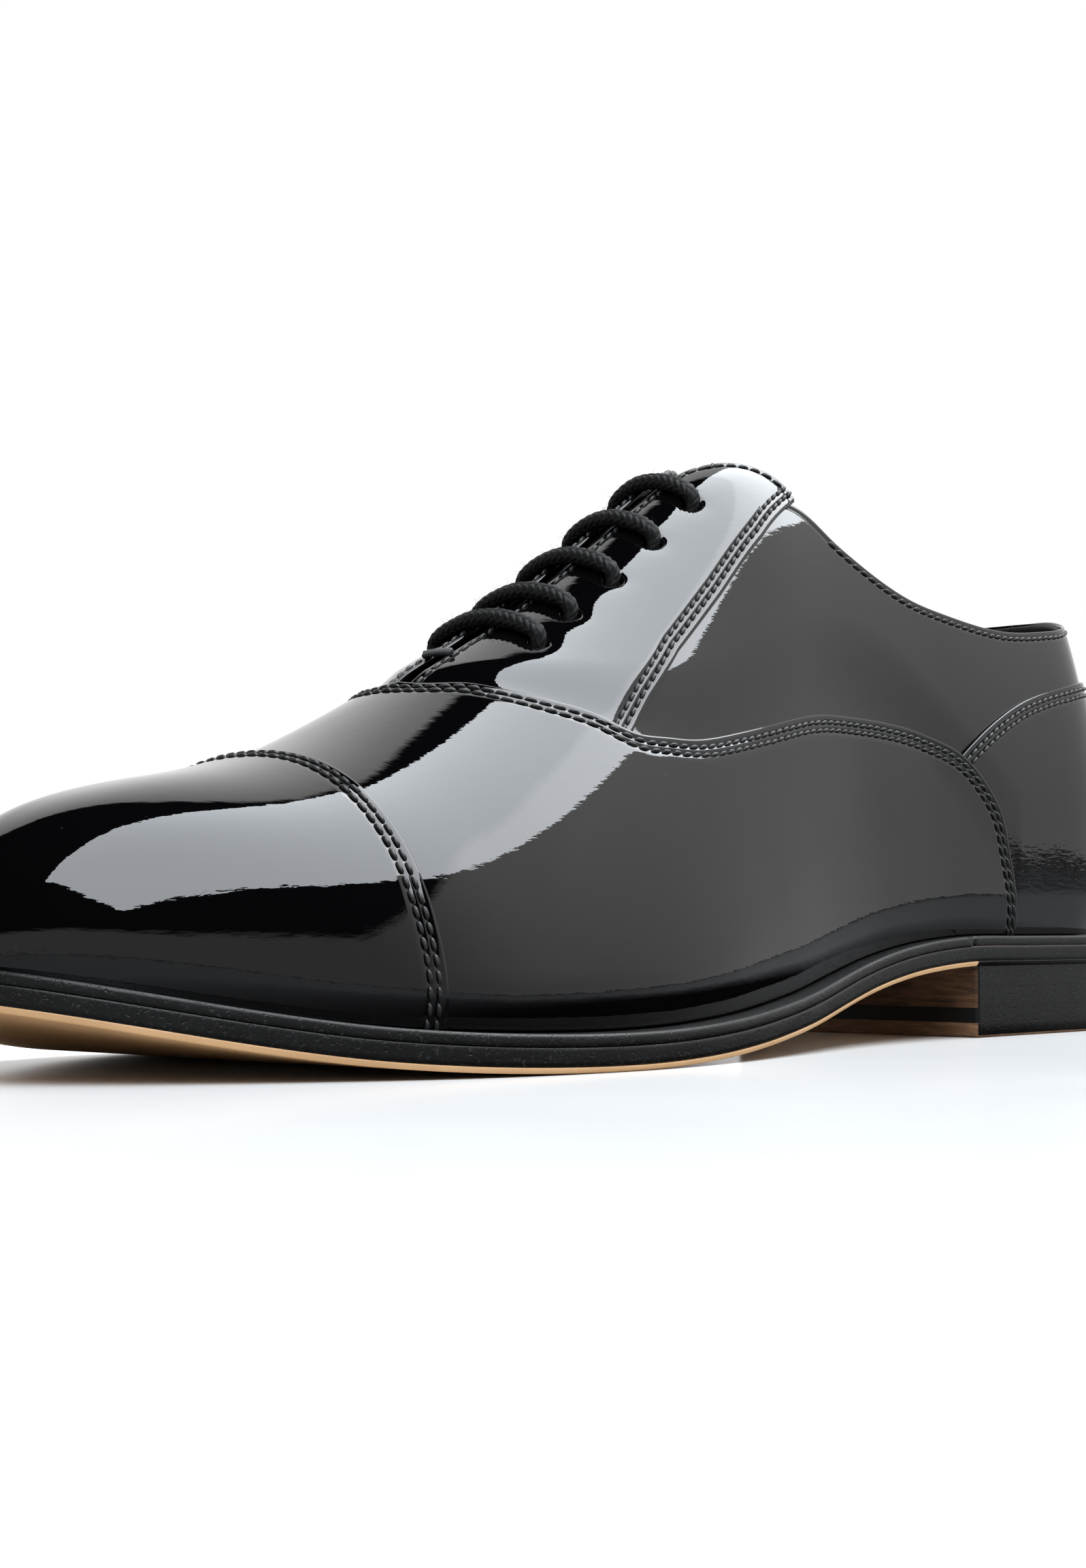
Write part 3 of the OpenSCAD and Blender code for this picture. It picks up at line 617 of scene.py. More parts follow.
# waxed cotton: the braid's strands are modelled, so the shader adds yarn and wax
LACE = grained("lace_cotton", 0.004, 0.6, bumps=[("noise", (3200, 3.0, 0.7), 0.00005, 1.0)],
               tone=((900, 4.0), [(0.3, (0.0012, 0.0012, 0.0013)), (0.62, 0.004),
                                  (0.85, (0.014, 0.013, 0.013))]),
               sheen=((500, 3.0), 0.42, 0.72), Specular_IOR_Level=0.16)
THREAD = grained("thread", 0.004, 0.4, bumps=[("noise", (3000, 2.0), 0.00003, 1.0)],
                 tone=((1200, 3.0), [(0.3, 0.007), (0.8, 0.026)]), Specular_IOR_Level=0.4)
ACETATE = grained("lace_tip_acetate", 0.004, 0.3, bumps=[("noise", (900, 2.0), 0.00003, 1.0)],
                  sheen=((300,), 0.22, 0.4), Specular_IOR_Level=0.5)
# raw leather board of the hidden stiffeners and the insole
BOARD = grained("leather_board", (0.5, 0.36, 0.22), 0.7, bumps=[("noise", (500, 4.0), 0.0002, 1.0)],
                tone=((120, 5.0), [(0.3, (0.42, 0.29, 0.17)), (0.75, (0.58, 0.43, 0.28))]))


# ==== Lace ====
HOLES = [(206.5, 73), (197, 74), (185.5, 73.5), (173.5, 73.5), (161, 74)]
LACE_UNDER = 6.4      # depth of the lace's hidden runs, under the facings
# points of a rung: shares of the way across, and depths up through one hole and down the other
RUNG_SHARES = (-1, -1, -1, -0.62, -0.22, 0.22, 0.62, 1, 1, 1)
RUNG_DEPTHS = (4.6, 2, -0.6, -0.6, -0.8, -0.8, -0.6, -0.6, 2, 4.6)
TAIL_OUTER = [(18, 21, 84), (19.5, 27, 75), (20.5, 32, 65), (21, 37, 55), (20.5, 42, 45),
              (19.5, 48, 36), (17.5, 55, 30), (15, 64, 27), (12.5, 74, 26.5), (10.5, 84, 26.5),
              (9, 94, 26.5), (8, 103, 26.5), (7, 111, 26.5)]
TAIL_INNER = [(-14.5, 23, 84), (-15.5, 29, 75), (-16.5, 34, 65), (-17, 39, 55), (-16.5, 44, 45),
              (-15.5, 51, 36), (-13.5, 58, 30), (-11.5, 67, 27), (-10, 77, 26.5), (-9, 87, 26.5),
              (-8.5, 97, 26.5), (-7, 106, 26.5)]


def rung(hole):
    along, turn = hole
    return [upper_point(along, 90 + share * (90 - turn), depth)
            for share, depth in zip(RUNG_SHARES, RUNG_DEPTHS)]


def under(places):
    return [upper_point(along, turn, LACE_UNDER) for along, turn in places]


def crossing(start, end):
    return under([(start + (end - start) * k / 4, 104 - 6 * k) for k in range(5)])


def lace_route():
    route = [np.array(p, float) for p in TAIL_OUTER[::-1]]
    route += under([(152, 64), (161, 63), (172, 62), (184, 62), (196, 62), (204, 65)])
    crossings = [(204, 199), (195, 187), (183, 175), (171, 163)]
    for k, hole in enumerate(HOLES):
        route += rung(hole)
        if k < len(crossings):
            route += crossing(*crossings[k])
    route += under([(156, 117)])
    route += [np.array(p, float) for p in TAIL_INNER]
    return np.array(route)


BRAID_SIDES = 56
BRAID_STEP = 0.25
BRAID_LAY = 13.0      # length in which a strand goes once round the lace
BRAID_STRANDS = 8     # strands that run each way
BRAID_DEPTH = 0.34
LACE_EASE = 1.8       # spread over which the lace's corners are eased
LACE_WIDE = 3.9       # the lace's section where it is pulled flat
LACE_THICK = 2.9
LACE_MIDDLE = (0, 0, 30)
LACE_LEAN = 0.45      # how far its flat side turns towards the toe
HOLE_GRIP = 3.2       # length of lace that a hole squeezes
HOLE_SQUEEZE = 0.3
TIP_LENGTH = 18.0
TIP_TAPER = 0.35
TIP_SEAM = 0.12
FUZZ_COUNT = 900
FUZZ_R = 0.024
FUZZ_LOWEST = 72      # no fibres on the part of the lace below this height


def braid_height(place, angle):
    """Height of a round braid's surface: each strand floats over two and then under two."""
    one = BRAID_STRANDS * (angle / (2 * np.pi) + place / BRAID_LAY) + 0.5
    other = BRAID_STRANDS * (angle / (2 * np.pi) - place / BRAID_LAY) + 0.5
    n, m = np.floor(one), np.floor(other)
    is_one = (n + m) % 4 < 2
    crown_one, crown_other = np.sin(np.pi * (one - n)), np.sin(np.pi * (other - m))
    float_one = np.sin(np.pi * ((n + other) % 4) / 2)
    float_other = np.sin(np.pi * ((m + one - 2) % 4) / 2)
    crown = np.where(is_one, crown_one, crown_other)
    bulge = np.abs(np.where(is_one, float_one, float_other))
    return crown ** 0.7 * (0.5 + 0.5 * bulge)


def squeeze(path):
    """How much the holes narrow the lace at each point of its path."""
    pinch = np.zeros(len(path))
    for along, turn in HOLES:
        for side in (turn, 180 - turn):
            hole = upper_point(along, side, FACING_DEPTH + 0.6)
            away = np.linalg.norm(path - hole, axis=1)
            pinch = np.maximum(pinch, np.exp(-(away / HOLE_GRIP) ** 2))
    return pinch


def flat_side(path, tangent):
    """The direction each point of the lace turns its flat side to: away from the shoe's middle."""
    out = path - np.array(LACE_MIDDLE)
    out[:, 1] = -LACE_LEAN * np.linalg.norm(out[:, ::2], axis=1)
    out = unit(out)
    return across_from(np.stack([faired(out[:, k], BRAID_STEP, 3.0) for k in range(3)], -1), tangent)


def make_lace():
    path = rounded_path(lace_route(), BRAID_STEP, LACE_EASE)
    tangent = tangents(path)
    upward = flat_side(path, tangent)
    across = np.cross(tangent, upward)
    place = along_path(path)
    angle = turn_of(BRAID_SIDES)
    wander = 0.04 * np.sin(place / 3.1) + 0.03 * np.sin(place / 1.3)
    relief = BRAID_DEPTH * (braid_height(place[:, None], angle) - 0.6) + wander[:, None]
    pinch = 1 - HOLE_SQUEEZE * squeeze(path)[:, None]
    thick = (LACE_THICK / 2 + relief) * pinch * np.cos(angle)
    wide = (LACE_WIDE / 2 + relief) * pinch * np.sin(angle)
    section = thick[..., None] * upward[:, None] + wide[..., None] * across[:, None]
    verts, faces = ring_skin(path[:, None] + section)
    return new_piece("lace", verts, faces, [LACE]), path


def make_fuzz(path):
    """Loose fibres that stand off the part of the lace that shows."""
    random = np.random.default_rng(SEED + 9)
    root = random.choice(np.flatnonzero(path[:, 2] > FUZZ_LOWEST), FUZZ_COUNT)
    angle = random.uniform(0, 2 * np.pi, FUZZ_COUNT)[:, None]
    tangent = tangents(path)
    ahead, upward = tangent[root], flat_side(path, tangent)[root]
    up = np.cos(angle) * upward
    aside = np.sin(angle) * np.cross(ahead, upward)
    start = path[root] + 0.45 * (LACE_THICK * up + LACE_WIDE * aside)
    length = random.uniform(0.5, 1.7, FUZZ_COUNT)[:, None]
    end = start + (up + aside + ahead * random.normal(0, 0.7, FUZZ_COUNT)[:, None]) * length
    middle = (start + end) / 2 + random.normal(0, 0.2, (FUZZ_COUNT, 3))
    corner = turn_of(3)[:, None]
    ring = np.cos(corner) * np.cross(up + aside, ahead)[:, None] + np.sin(corner) * ahead[:, None]
    rings = [point[:, None] + FUZZ_R * width * ring
             for point, width in ((start, 1.0), (middle, 0.8), (end, 0.15))]
    verts = np.stack(rings, 1).reshape(-1, 3)
    faces = repeated(ring_faces(3, 3), 9, FUZZ_COUNT)
    new_piece("lace_fuzz", verts, faces, [LACE], is_extra=True)


def make_tip(name, tail):
    """Acetate sleeve with a rolled seam, on from the end of the lace."""
    end, before = np.array(tail[-1], float), np.array(tail[-2], float)
    share = np.linspace(0, 1, 30)[:, None]
    path = end + unit(end - before) * (0.02 + (TIP_LENGTH - 0.02) * share)
    radius = (LACE_D / 2 - 0.05 - TIP_TAPER * share) * np.minimum(1, 0.35 + 6 * (1 - share)) ** 0.5
    seam = TIP_SEAM * (np.abs(turn_of(32) - np.pi) < 0.25)
    verts, faces = tube(path, radius + seam, (0, 0, 1))
    return new_piece(name, verts, faces, [ACETATE])


lace, lace_path = make_lace()
tip_outer = make_tip("lace_tip_outer", TAIL_OUTER)
tip_inner = make_tip("lace_tip_inner", TAIL_INNER)
make_fuzz(lace_path)


# ==== Leather sheets of the upper ====
PLAIN_RIM = (0, 0.08, 0.2, 0.4, 0.8)
SEWN_RIM = (0, 0.05, 0.12, 0.22, 0.36, 0.55, 0.85, 1.15, 1.38, 1.6, 1.82, 2.05, 2.35, 2.65, 2.88,
            3.1, 3.32, 3.55, 4.0, 4.6)
ROW_ONE = 1.6         # distance of the first row of stitches from its edge
ROW_TWO = 3.1
GROOVE_D = 0.22       # how far a row of stitches pulls the leather in
GROOVE_W = 0.46
THREAD_SUNK = 0.55 * GROOVE_D


def on_leather(places, depth):
    return upper_point(places[..., 0], places[..., 1], depth)


def distance_to(points, line):
    """Distance of each point from a line through points."""
    tree = KDTree(len(line))
    for i, p in enumerate(line):
        tree.insert(p, i)
    tree.balance()
    flat = points.reshape(-1, 3)
    near = np.array([tree.find(p)[1] for p in flat])
    best = np.full(len(flat), np.inf)
    for offset in (-1, 0):
        i = np.clip(near + offset, 0, len(line) - 2)
        a, d = line[i], line[i + 1] - line[i]
        share = np.clip(((flat - a) * d).sum(1) / np.maximum((d * d).sum(1), 1e-12), 0, 1)
        best = np.minimum(best, np.linalg.norm(flat - a - d * share[:, None], axis=1))
    return best.reshape(points.shape[:-1])


def spaced(lengths, first_rim, last_rim, step):
    """Shares of each length: at set distances near both ends and evenly in between."""
    first, last = np.array(first_rim), np.array(last_rim)[::-1]
    lengths = np.asarray(lengths, float)[:, None]
    rims = np.minimum(1, 0.45 * lengths / max(first[-1], last[0]))
    a = rims * first / lengths
    b = 1 - rims * last / lengths
    count = max(int((lengths.max() - first[-1] - last[0]) / step), 2)
    middle_share = np.linspace(0, 1, count + 1)[1:-1]
    return np.concatenate([a, a[:, -1:] + (b[:, :1] - a[:, -1:]) * middle_share, b], 1)


class Sheet:
    """A leather sheet on the foot shape, ruled between two curves, as in the CAD source.

    Its lattice is finest near its edges; "first" and "last" name the two curves.
    """

    def __init__(self, first, last, depth, t, step=1.1, row_step=0.6, rims=(PLAIN_RIM, PLAIN_RIM),
                 ends=(PLAIN_RIM, PLAIN_RIM), is_eased=False, warp=None, extra=None):
        self.depth, self.t, self.extra = depth, t, extra
        u = np.linspace(0, 1, 2400)
        track = on_leather(through(first, u), depth)
        place = along_path(track)
        rows = spaced([place[-1]], ends[0], ends[1], row_step)[0]
        self.u = np.interp(rows * place[-1], place, u)
        a, b = through(first, self.u), through(last, self.u, False)
        k = np.linspace(0, 1, 60)[None, :, None]
        eased = np.sin(np.pi / 2 * k) if is_eased else k
        lines = on_leather(a[:, None] + (b - a)[:, None] * eased, depth)
        reach = np.linalg.norm(np.diff(lines, axis=1), axis=2)
        run = np.concatenate([np.zeros((len(a), 1)), np.cumsum(reach, 1)], 1)
        cols = spaced(run[:, -1], rims[0], rims[1], step)
        shares = np.stack([np.interp(c * r[-1], r, k[0, :, 0]) for c, r in zip(cols, run)])
        if is_eased:
            shares = np.sin(np.pi / 2 * shares)
        self.places = a[:, None] + (b - a)[:, None] * shares[..., None]
        if warp is not None:
            self.places = warp(self.places, self.u, shares)
        self.base = on_leather(self.places, depth)
        self.sink = np.zeros(self.base.shape[:2])
        borders = {"first": self.base[:, 0], "last": self.base[:, -1],
                   "start": self.base[0], "end": self.base[-1]}
        self.away = {key: distance_to(self.base, line) for key, line in borders.items()}

    def groove(self, edge, *distances):
        """Pulls the leather in along rows of stitches."""
        for distance in distances:
            self.sink += GROOVE_D * np.exp(-((self.away[edge] - distance) / GROOVE_W) ** 2)

    def row(self, edge, distance):
        """Places at a distance from an edge, one on each line of the lattice."""
        away, places = self.away[edge], self.places
        if edge in ("start", "end"):
            away, places = away.T, places.transpose(1, 0, 2)
        if edge in ("last", "end"):
            away, places = away[:, ::-1], places[:, ::-1]
        beyond = np.argmax(away >= distance, axis=1)
        found = beyond > 0
        i, j = np.nonzero(found)[0], beyond[found]
        share = (distance - away[i, j - 1]) / (away[i, j] - away[i, j - 1])
        return places[i, j - 1] + (places[i, j] - places[i, j - 1]) * share[:, None]

    def build(self, name, slot, material, body="shoe"):
        """The sheet as a piece, with round edges."""
        half = self.t / 2
        near = np.minimum.reduce(list(self.away.values()))
        inside = np.clip(half - near, 0, half * 0.98)
        drop = half - np.sqrt(half ** 2 - inside ** 2)
        more = 0 if self.extra is None else self.extra(self.places[..., 0], self.places[..., 1])
        outer = on_leather(self.places, self.depth + more + self.sink + drop)
        inner = on_leather(self.places, self.depth + more + self.sink + self.t - drop)
        verts, quads = closed_sheet(outer, inner)
        new_piece(name, verts, quads, [material], body)


def ripple(places, size, height, seed):
    """Slow unevenness of leather, by place on the foot shape."""
    random = np.random.default_rng(seed)
    total = 0
    for _ in range(5):
        turn = random.uniform(0, 2 * np.pi)
        along = np.cos(turn) * places[..., 0] + np.sin(turn) * places[..., 1]
        total = total + np.sin(2 * np.pi * along / (size * random.uniform(0.7, 1.5))
                               + random.uniform(0, 6))
    return height * total / 5


# ==== Stitches ====
STITCH_PITCH = 2.5
STITCH_L = 2.36
STITCH_R = 0.36
STITCH_SLANT = 0.12
STITCH_RINGS = 8
STITCH_SIDES = 9


def stitch_row(places, depth, start=0.4):
    """Centres, directions and outward normals of the stitches of a row."""
    line = on_leather(places, depth)
    above = on_leather(places, depth - 1) - line
    place = along_path(line)
    at = np.arange(start, place[-1] - start, STITCH_PITCH)
    direction = unit(read_along(line, place, at + 0.4) - read_along(line, place, at - 0.4))
    up = across_from(read_along(above, place, at), direction)
    return read_along(line, place, at), direction, up


def stitch_piece(name, rows, seed):
    """Separate stitches of two-ply thread that dive into the leather at both ends."""
    random = np.random.default_rng(seed)
    centre, direction, up = (np.concatenate(parts)[:, None, None] for parts in zip(*rows))
    count = len(centre)
    side = np.cross(up, direction)
    t = np.linspace(-1, 1, STITCH_RINGS)
    phi = turn_of(STITCH_SIDES)
    swell = STITCH_R * np.sqrt(np.maximum(1 - np.abs(t) ** 3.2, 0.04))[:, None]
    plies = np.cos(2 * phi + 5.5 * t[:, None])
    length = STITCH_L / 2 * random.uniform(0.95, 1.03, count)[:, None] * t
    lift = random.uniform(0.1, 0.17, count)[:, None] * (1 - t ** 2) - 0.13 * np.abs(t) ** 3
    drift = STITCH_SLANT * t + random.uniform(-0.04, 0.04, count)[:, None]
    ply = np.cos(random.uniform(0, 2 * np.pi, count))[:, None, None]
    radius = swell * (1 + 0.1 * plies)
    sideways = drift[..., None] + radius * np.cos(phi)
    upwards = lift[..., None] + radius * np.sin(phi) + 0.07 * swell * plies * ply
    rings = (centre + length[..., None, None] * direction + sideways[..., None] * side
             + upwards[..., None] * up)
    faces = repeated(ring_faces(STITCH_RINGS, STITCH_SIDES), STITCH_RINGS * STITCH_SIDES, count)
    new_piece(name, rings.reshape(-1, 3), faces, [THREAD])


# ==== Upper ====
CAP_ROWS = 24
FACING_BOW = 3.4      # how far the facing's top edge bows up
HOLE_R = 1.45         # a lace hole, its rim and the dimple round it
HOLE_RIM = 0.75
HOLE_DEEP = 1.25
DIMPLE_R = 3.2
DIMPLE_DEEP = 0.3
TACK_TURNS = 5
TACK_R = 0.36
TACK_PLACE = 217.5
SEAM_END = 130        # the topline's stitches stop here, under the facing


def finish_panel(sheet, name, size, height, seed):
    """Adds a panel's slow unevenness and builds it."""
    sheet.sink += ripple(sheet.places, size, height, seed)
    sheet.build(name, "patent_leather", PATENT)


def row_of(sheet, edge, distance, **settings):
    return stitch_row(sheet.row(edge, distance), sheet.depth + THREAD_SUNK, **settings)


def crater(sheet, side):
    """Presses each lace hole in as a pit deeper than the facing is thick, with a rounded rim and a shallow
    dimple round it.
    """
    for along, turn in HOLES:
        centre = upper_point(side * along, turn, sheet.depth)
        away = np.linalg.norm(sheet.base - centre, axis=2)
        sheet.sink += HOLE_DEEP * (1 - smooth((away - HOLE_R) / HOLE_RIM))
        sheet.sink += DIMPLE_DEEP * np.exp(-(away / DIMPLE_R) ** 2)


def facing_top(side):
    """The facing's top edge bows up between its two corners."""
    def warp(places, u, shares):
        bow = smooth((u[:, None] - 0.55) / 0.45) * np.sin(np.pi * np.clip(shares, 0, 1)) ** 0.8
        return places - np.stack([side * FACING_BOW * bow, np.zeros_like(bow)], -1)
    return warp


def throat_tack():
    """A bar of thread wound side by side across the foot of the throat."""
    turns = np.linspace(86, 94, 200)
    wound = np.linspace(0, 4 * np.pi * TACK_TURNS, len(turns))
    path = upper_point(TACK_PLACE + 0.55 * np.sin(wound), turns, FACING_DEPTH - 0.75 - 0.3 * np.cos(wound))
    verts, faces = tube(path, np.full((len(path), 12), TACK_R), (0, 1, 0.2))
    new_piece("throat_tack", verts, faces, [THREAD])


cap = Sheet(fan(CAP_ROWS, CAP_SEAM), fan(CAP_ROWS, TIP - 1), CAP_DEPTH, LEATHER_T, is_eased=True,
            rims=(SEWN_RIM, PLAIN_RIM))
cap.groove("first", ROW_ONE, ROW_TWO)
finish_panel(cap, "toe_cap", 26, 0.05, SEED)

vamp = Sheet(over_ridge(VAMP_SEAM), over_ridge(VAMP_LOWER), VAMP_DEPTH, LEATHER_T,
             rims=(SEWN_RIM, PLAIN_RIM))
vamp.groove("first", ROW_ONE, ROW_TWO)
finish_panel(vamp, "vamp", 24, 0.06, SEED + 1)

facing_rows = []
topline_rows = []
for label, side in (("outer", 1), ("inner", -1)):
    facing = Sheet(on_side(FACING_FRONT, side), on_side(FACING_REAR, side), FACING_DEPTH, LEATHER_T,
                   step=0.55, row_step=0.5, rims=(SEWN_RIM, SEWN_RIM), ends=(PLAIN_RIM, SEWN_RIM),
                   warp=facing_top(side))
    facing.groove("last", ROW_ONE, ROW_TWO)
    facing.groove("first", ROW_ONE)
    facing.groove("end", ROW_ONE)
    crater(facing, side)
    facing.build("facing_" + label, "patent_leather", PATENT)
    facing_rows += [row_of(facing, "last", ROW_ONE), row_of(facing, "last", ROW_TWO),
                    row_of(facing, "first", ROW_ONE), row_of(facing, "end", ROW_ONE, start=2.4)]

    quarter = Sheet(on_side(TOPLINE + QUARTER_FRONT, side), on_side(QUARTER_LOWER, side),
                    QUARTER_DEPTH, LEATHER_T, rims=(SEWN_RIM, PLAIN_RIM))
    quarter.groove("first", ROW_ONE)
    finish_panel(quarter, "quarter_" + label, 30, 0.05, SEED + 2)
    seam = quarter.row("first", ROW_ONE)
    seam = seam[np.abs(seam[:, 0]) < SEAM_END]
    topline_rows.append(stitch_row(seam, QUARTER_DEPTH + THREAD_SUNK))

panel = Sheet(round_heel(PANEL_TOP), round_heel(PANEL_LOWER), PANEL_DEPTH, LEATHER_T - 0.1,
              rims=(SEWN_RIM, PLAIN_RIM))
panel.groove("first", ROW_ONE, ROW_TWO)
finish_panel(panel, "heel_panel", 26, 0.04, SEED + 3)

for seed, (name, sheet) in enumerate((("cap", cap), ("vamp", vamp))):
    stitch_piece(name + "_stitching", [row_of(sheet, "first", d) for d in (ROW_ONE, ROW_TWO)], SEED + seed)
stitch_piece("facing_stitching", facing_rows, SEED + 2)
throat_tack()
stitch_piece("topline_stitching", topline_rows, SEED + 3)
stitch_piece("heel_panel_stitching", [row_of(panel, "first", d) for d in (ROW_ONE, ROW_TWO)], SEED + 4)


# ==== Tongue and the inside ====
TONGUE_T = 1.6
TONGUE_ROOT_DEPTH = 4.6
TONGUE_DIP = 5.4
HEEL_SINK = 1.5
LINING_EDGE = TOPLINE + [(149, 83), (160, 87), (184, 87.4), (204, 87.4), (218, 86)]
LINING_FLOOR = [(0, 0), (16, 0), (32, 0), (48, 0), (72, 0), (96, 0), (114, 0), (132, 0), (148, 0),
                (163, 0), (179, 24), (201, 48), (208, 60), (217, 80)]


def tongue_dip(along, turn):
    return TONGUE_DIP * smooth((224 - np.abs(along)) / 14)


def vamp_lining_sink(along, turn):
    return 0.4 - 2.1 * smooth((np.abs(along) - 238) / 25)


def quarter_lining_sink(along, turn):
    return HEEL_SINK * (1 - smooth((turn - 30) / 7)) * (1 - smooth((np.abs(along) - 94) / 18))


tongue = Sheet(TONGUE_EDGE, [(along, 180 - turn) for along, turn in TONGUE_EDGE],
               TONGUE_ROOT_DEPTH, TONGUE_T, step=1.6, row_step=1.2, extra=tongue_dip)
tongue.build("tongue", "patent_leather", PATENT, body="tongue")

lining_edge = over_ridge(LINING_SEAM)
Sheet(lining_edge, fan(len(lining_edge) - 1, TIP - 1), LINING_DEPTH, LINING_T, step=2.4, row_step=2,
      is_eased=True, extra=vamp_lining_sink).build("vamp_lining", "lining_leather", LINING)
for label, side in (("outer", 1), ("inner", -1)):
    lining = Sheet(on_side(LINING_EDGE, side), on_side(LINING_FLOOR, side), LINING_DEPTH, LINING_T,
                   step=1.6, row_step=1.2, extra=quarter_lining_sink)
    lining.build("quarter_lining_" + label, "lining_leather", LINING)
Sheet(round_heel(GRIP_TOP), round_heel(GRIP_LOWER), LINING_DEPTH + 1, LINING_T, step=1.6, row_step=1.2,
      extra=quarter_lining_sink).build("heel_grip", "lining_leather", LINING)


# ==== Bottom ====
WELT_W = 9.0
WELT_BACK = 96.0
RAND_BACK = 95.0
HEEL_INSET = 0.8
HEEL_EDGE_END = BREAST - HEEL_ROUND + HEEL_TURN
HEEL_SIDES = 190      # points round the back of the heel and across its breast
BREAST_SIDES = 60
LAYER_GAP = 0.03      # dark line between two layers
SOLE_LINES = 26       # lines across the outsole's underside
OUTSOLE_EDGE = [(0.8, 0), (0.6, 0.12), (0.3, 0.46), (0.14, 0.72), (0.1, 0.8), (0.2, 0.86), (0.3, 0.95),
                (0.16, 1.1), (0.02, 1.35), (0, 1.8), (0, 2.6), (0, 3.4), (0.03, 3.72), (0.16, 3.93),
                (0.3, OUTSOLE_T)]
INK_START = 6         # the point of the edge where the ink begins, over the bare chamfer


def round_tip(start, step):
    """Distances round the sole's edge from start on the outer side over the tip to the inner."""
    count = int((TIP - start) / step)
    outer = np.linspace(start, TIP, count + 1)
    return np.concatenate([outer, -outer[-2::-1]])


def uneven(along, height, amount):
    """Hand work on an edge: a slow wander of its outline."""
    return amount * (np.sin(along / 7.3) + np.sin(along / 3.1 + 1 + height) + np.sin(along / 17 + 2)) / 3


def edge_strip(name, places, profile):
    """A strip of inked leather along the sole's edge from a closed profile of (inset, height)."""
    inset, z = np.array(profile, float).T
    wander = uneven(places[:, None], z, 0.06) * (inset < 3)
    verts, faces = ring_skin(edge_point(places[:, None], inset + wander, z))
    new_piece(name, verts, faces, [INK])


WELT_LOW = OUTSOLE_T + 0.02
WELT_HIGH = OUTSOLE_T + WELT_T
welt_profile = ([(WELT_W, WELT_LOW), (4, WELT_LOW), (0.25, WELT_LOW), (0.08, WELT_LOW + 0.08),
                 (0.02, WELT_LOW + 0.22), (0, WELT_LOW + 0.6), (0, WELT_HIGH - 0.75),
                 (0.08, WELT_HIGH - 0.45), (0.3, WELT_HIGH - 0.16), (0.62, WELT_HIGH - 0.02),
                 (0.9, WELT_HIGH), (2.2, WELT_HIGH - 0.02), (4, WELT_HIGH - 0.02),
                 (WELT_W, WELT_HIGH - 0.02)])
rand_profile = [(inset + (0.25 if inset < 1 else 0), z) for inset, z in welt_profile]
edge_strip("welt", round_tip(WELT_BACK, 1.5), welt_profile)
edge_strip("heel_rand", np.linspace(-RAND_BACK, RAND_BACK, 160), rand_profile)


def outsole():
    """Tan sole whose edge is inked down to a bare chamfer, and right down beside the heel."""
    places = np.concatenate([np.linspace(3, 20, 14)[:-1], np.linspace(20, TIP - 20, 240),
                             np.linspace(TIP - 20, TIP - 3, 14)[1:]])
    inset, z = np.array(OUTSOLE_EDGE, float).T
    sides = []
    for along in (places[:, None], -places[:, None]):
        sides.append(edge_point(along, inset + uneven(along, z, 0.05), z))
    outer, inner = sides
    shares = np.linspace(0, 1, SOLE_LINES + 2)[1:-1, None]
    under_side = inner[:, :1] + (outer[:, :1] - inner[:, :1]) * shares
    over_side = outer[:, -1:] + (inner[:, -1:] - outer[:, -1:]) * shares
    rings = np.concatenate([outer, over_side, inner[:, ::-1], under_side], 1)
    verts, faces = ring_skin(rings)
    cols = rings.shape[1]
    mirror = 2 * len(z) + SOLE_LINES - 2

    def inked(lowest):
        return {j for k in range(lowest, len(z) - 1) for j in (k % cols, mirror - k)}

    dark, heel_dark = inked(INK_START), inked(-2)
    band = [0 if j in (heel_dark if place < HEEL_EDGE_END else dark) else 1
            for place in places[:-1] for j in range(cols)] + [0, 0]
    new_piece("outsole", verts, faces, [INK, TAN], face_material=band)


def heel_layer(name, low, high, breast_material, bevel=0.02, has_rim=False):
    """A layer of the heel block: inked round its back, bare on its breast and on its rim."""
    back = np.linspace(-HEEL_EDGE_END, HEEL_EDGE_END, HEEL_SIDES)
    holds = [bevel * k for k in (1, 2, 6, 12)]
    rise = [(bevel, low)] + [(0, low + h) for h in holds]
    if has_rim:
        rise = [(0.5, low), (0.3, low + 0.1), (0.12, low + 0.35), (0, low + 0.5)]
    inset, z = np.array(rise + [(0, high - h) for h in holds[::-1]] + [(bevel, high)]).T[..., None]
    rounds = edge_point(back, HEEL_INSET + inset + uneven(back, 0.0, 0.04), 0)
    rounds[..., 1] = np.maximum(rounds[..., 1], LENGTH / 2 - BREAST + inset)
    share = np.linspace(0, 1, BREAST_SIDES + 2)[1:-1, None]
    breast = rounds[:, -1:] + (rounds[:, :1] - rounds[:, -1:]) * share
    rings = np.concatenate([rounds, breast], 1)
    rings[..., 2] = z
    verts, faces = ring_skin(rings)
    is_bare = np.ones((len(rings) - 1, rings.shape[1]), int)
    is_bare[3 if has_rim else 0:, :HEEL_SIDES - 1] = 0
    new_piece(name, verts, faces, [INK, breast_material],
              face_material=[*is_bare.ravel(), 1, 1])


outsole()
LIFT_T = (HEEL_H - TOP_PIECE_T - RUBBER_T) / 2
heel_layer("top_piece", 0, TOP_PIECE_T - LAYER_GAP, PALE_BROWN, has_rim=True)
heel_layer("heel_rubber", TOP_PIECE_T, TOP_PIECE_T + RUBBER_T - LAYER_GAP, RUBBER)
for index, label in enumerate(("lower", "upper")):
    floor_z = TOP_PIECE_T + RUBBER_T + index * LIFT_T
    heel_layer("heel_lift_" + label, floor_z, floor_z + LIFT_T - LAYER_GAP, BROWN)


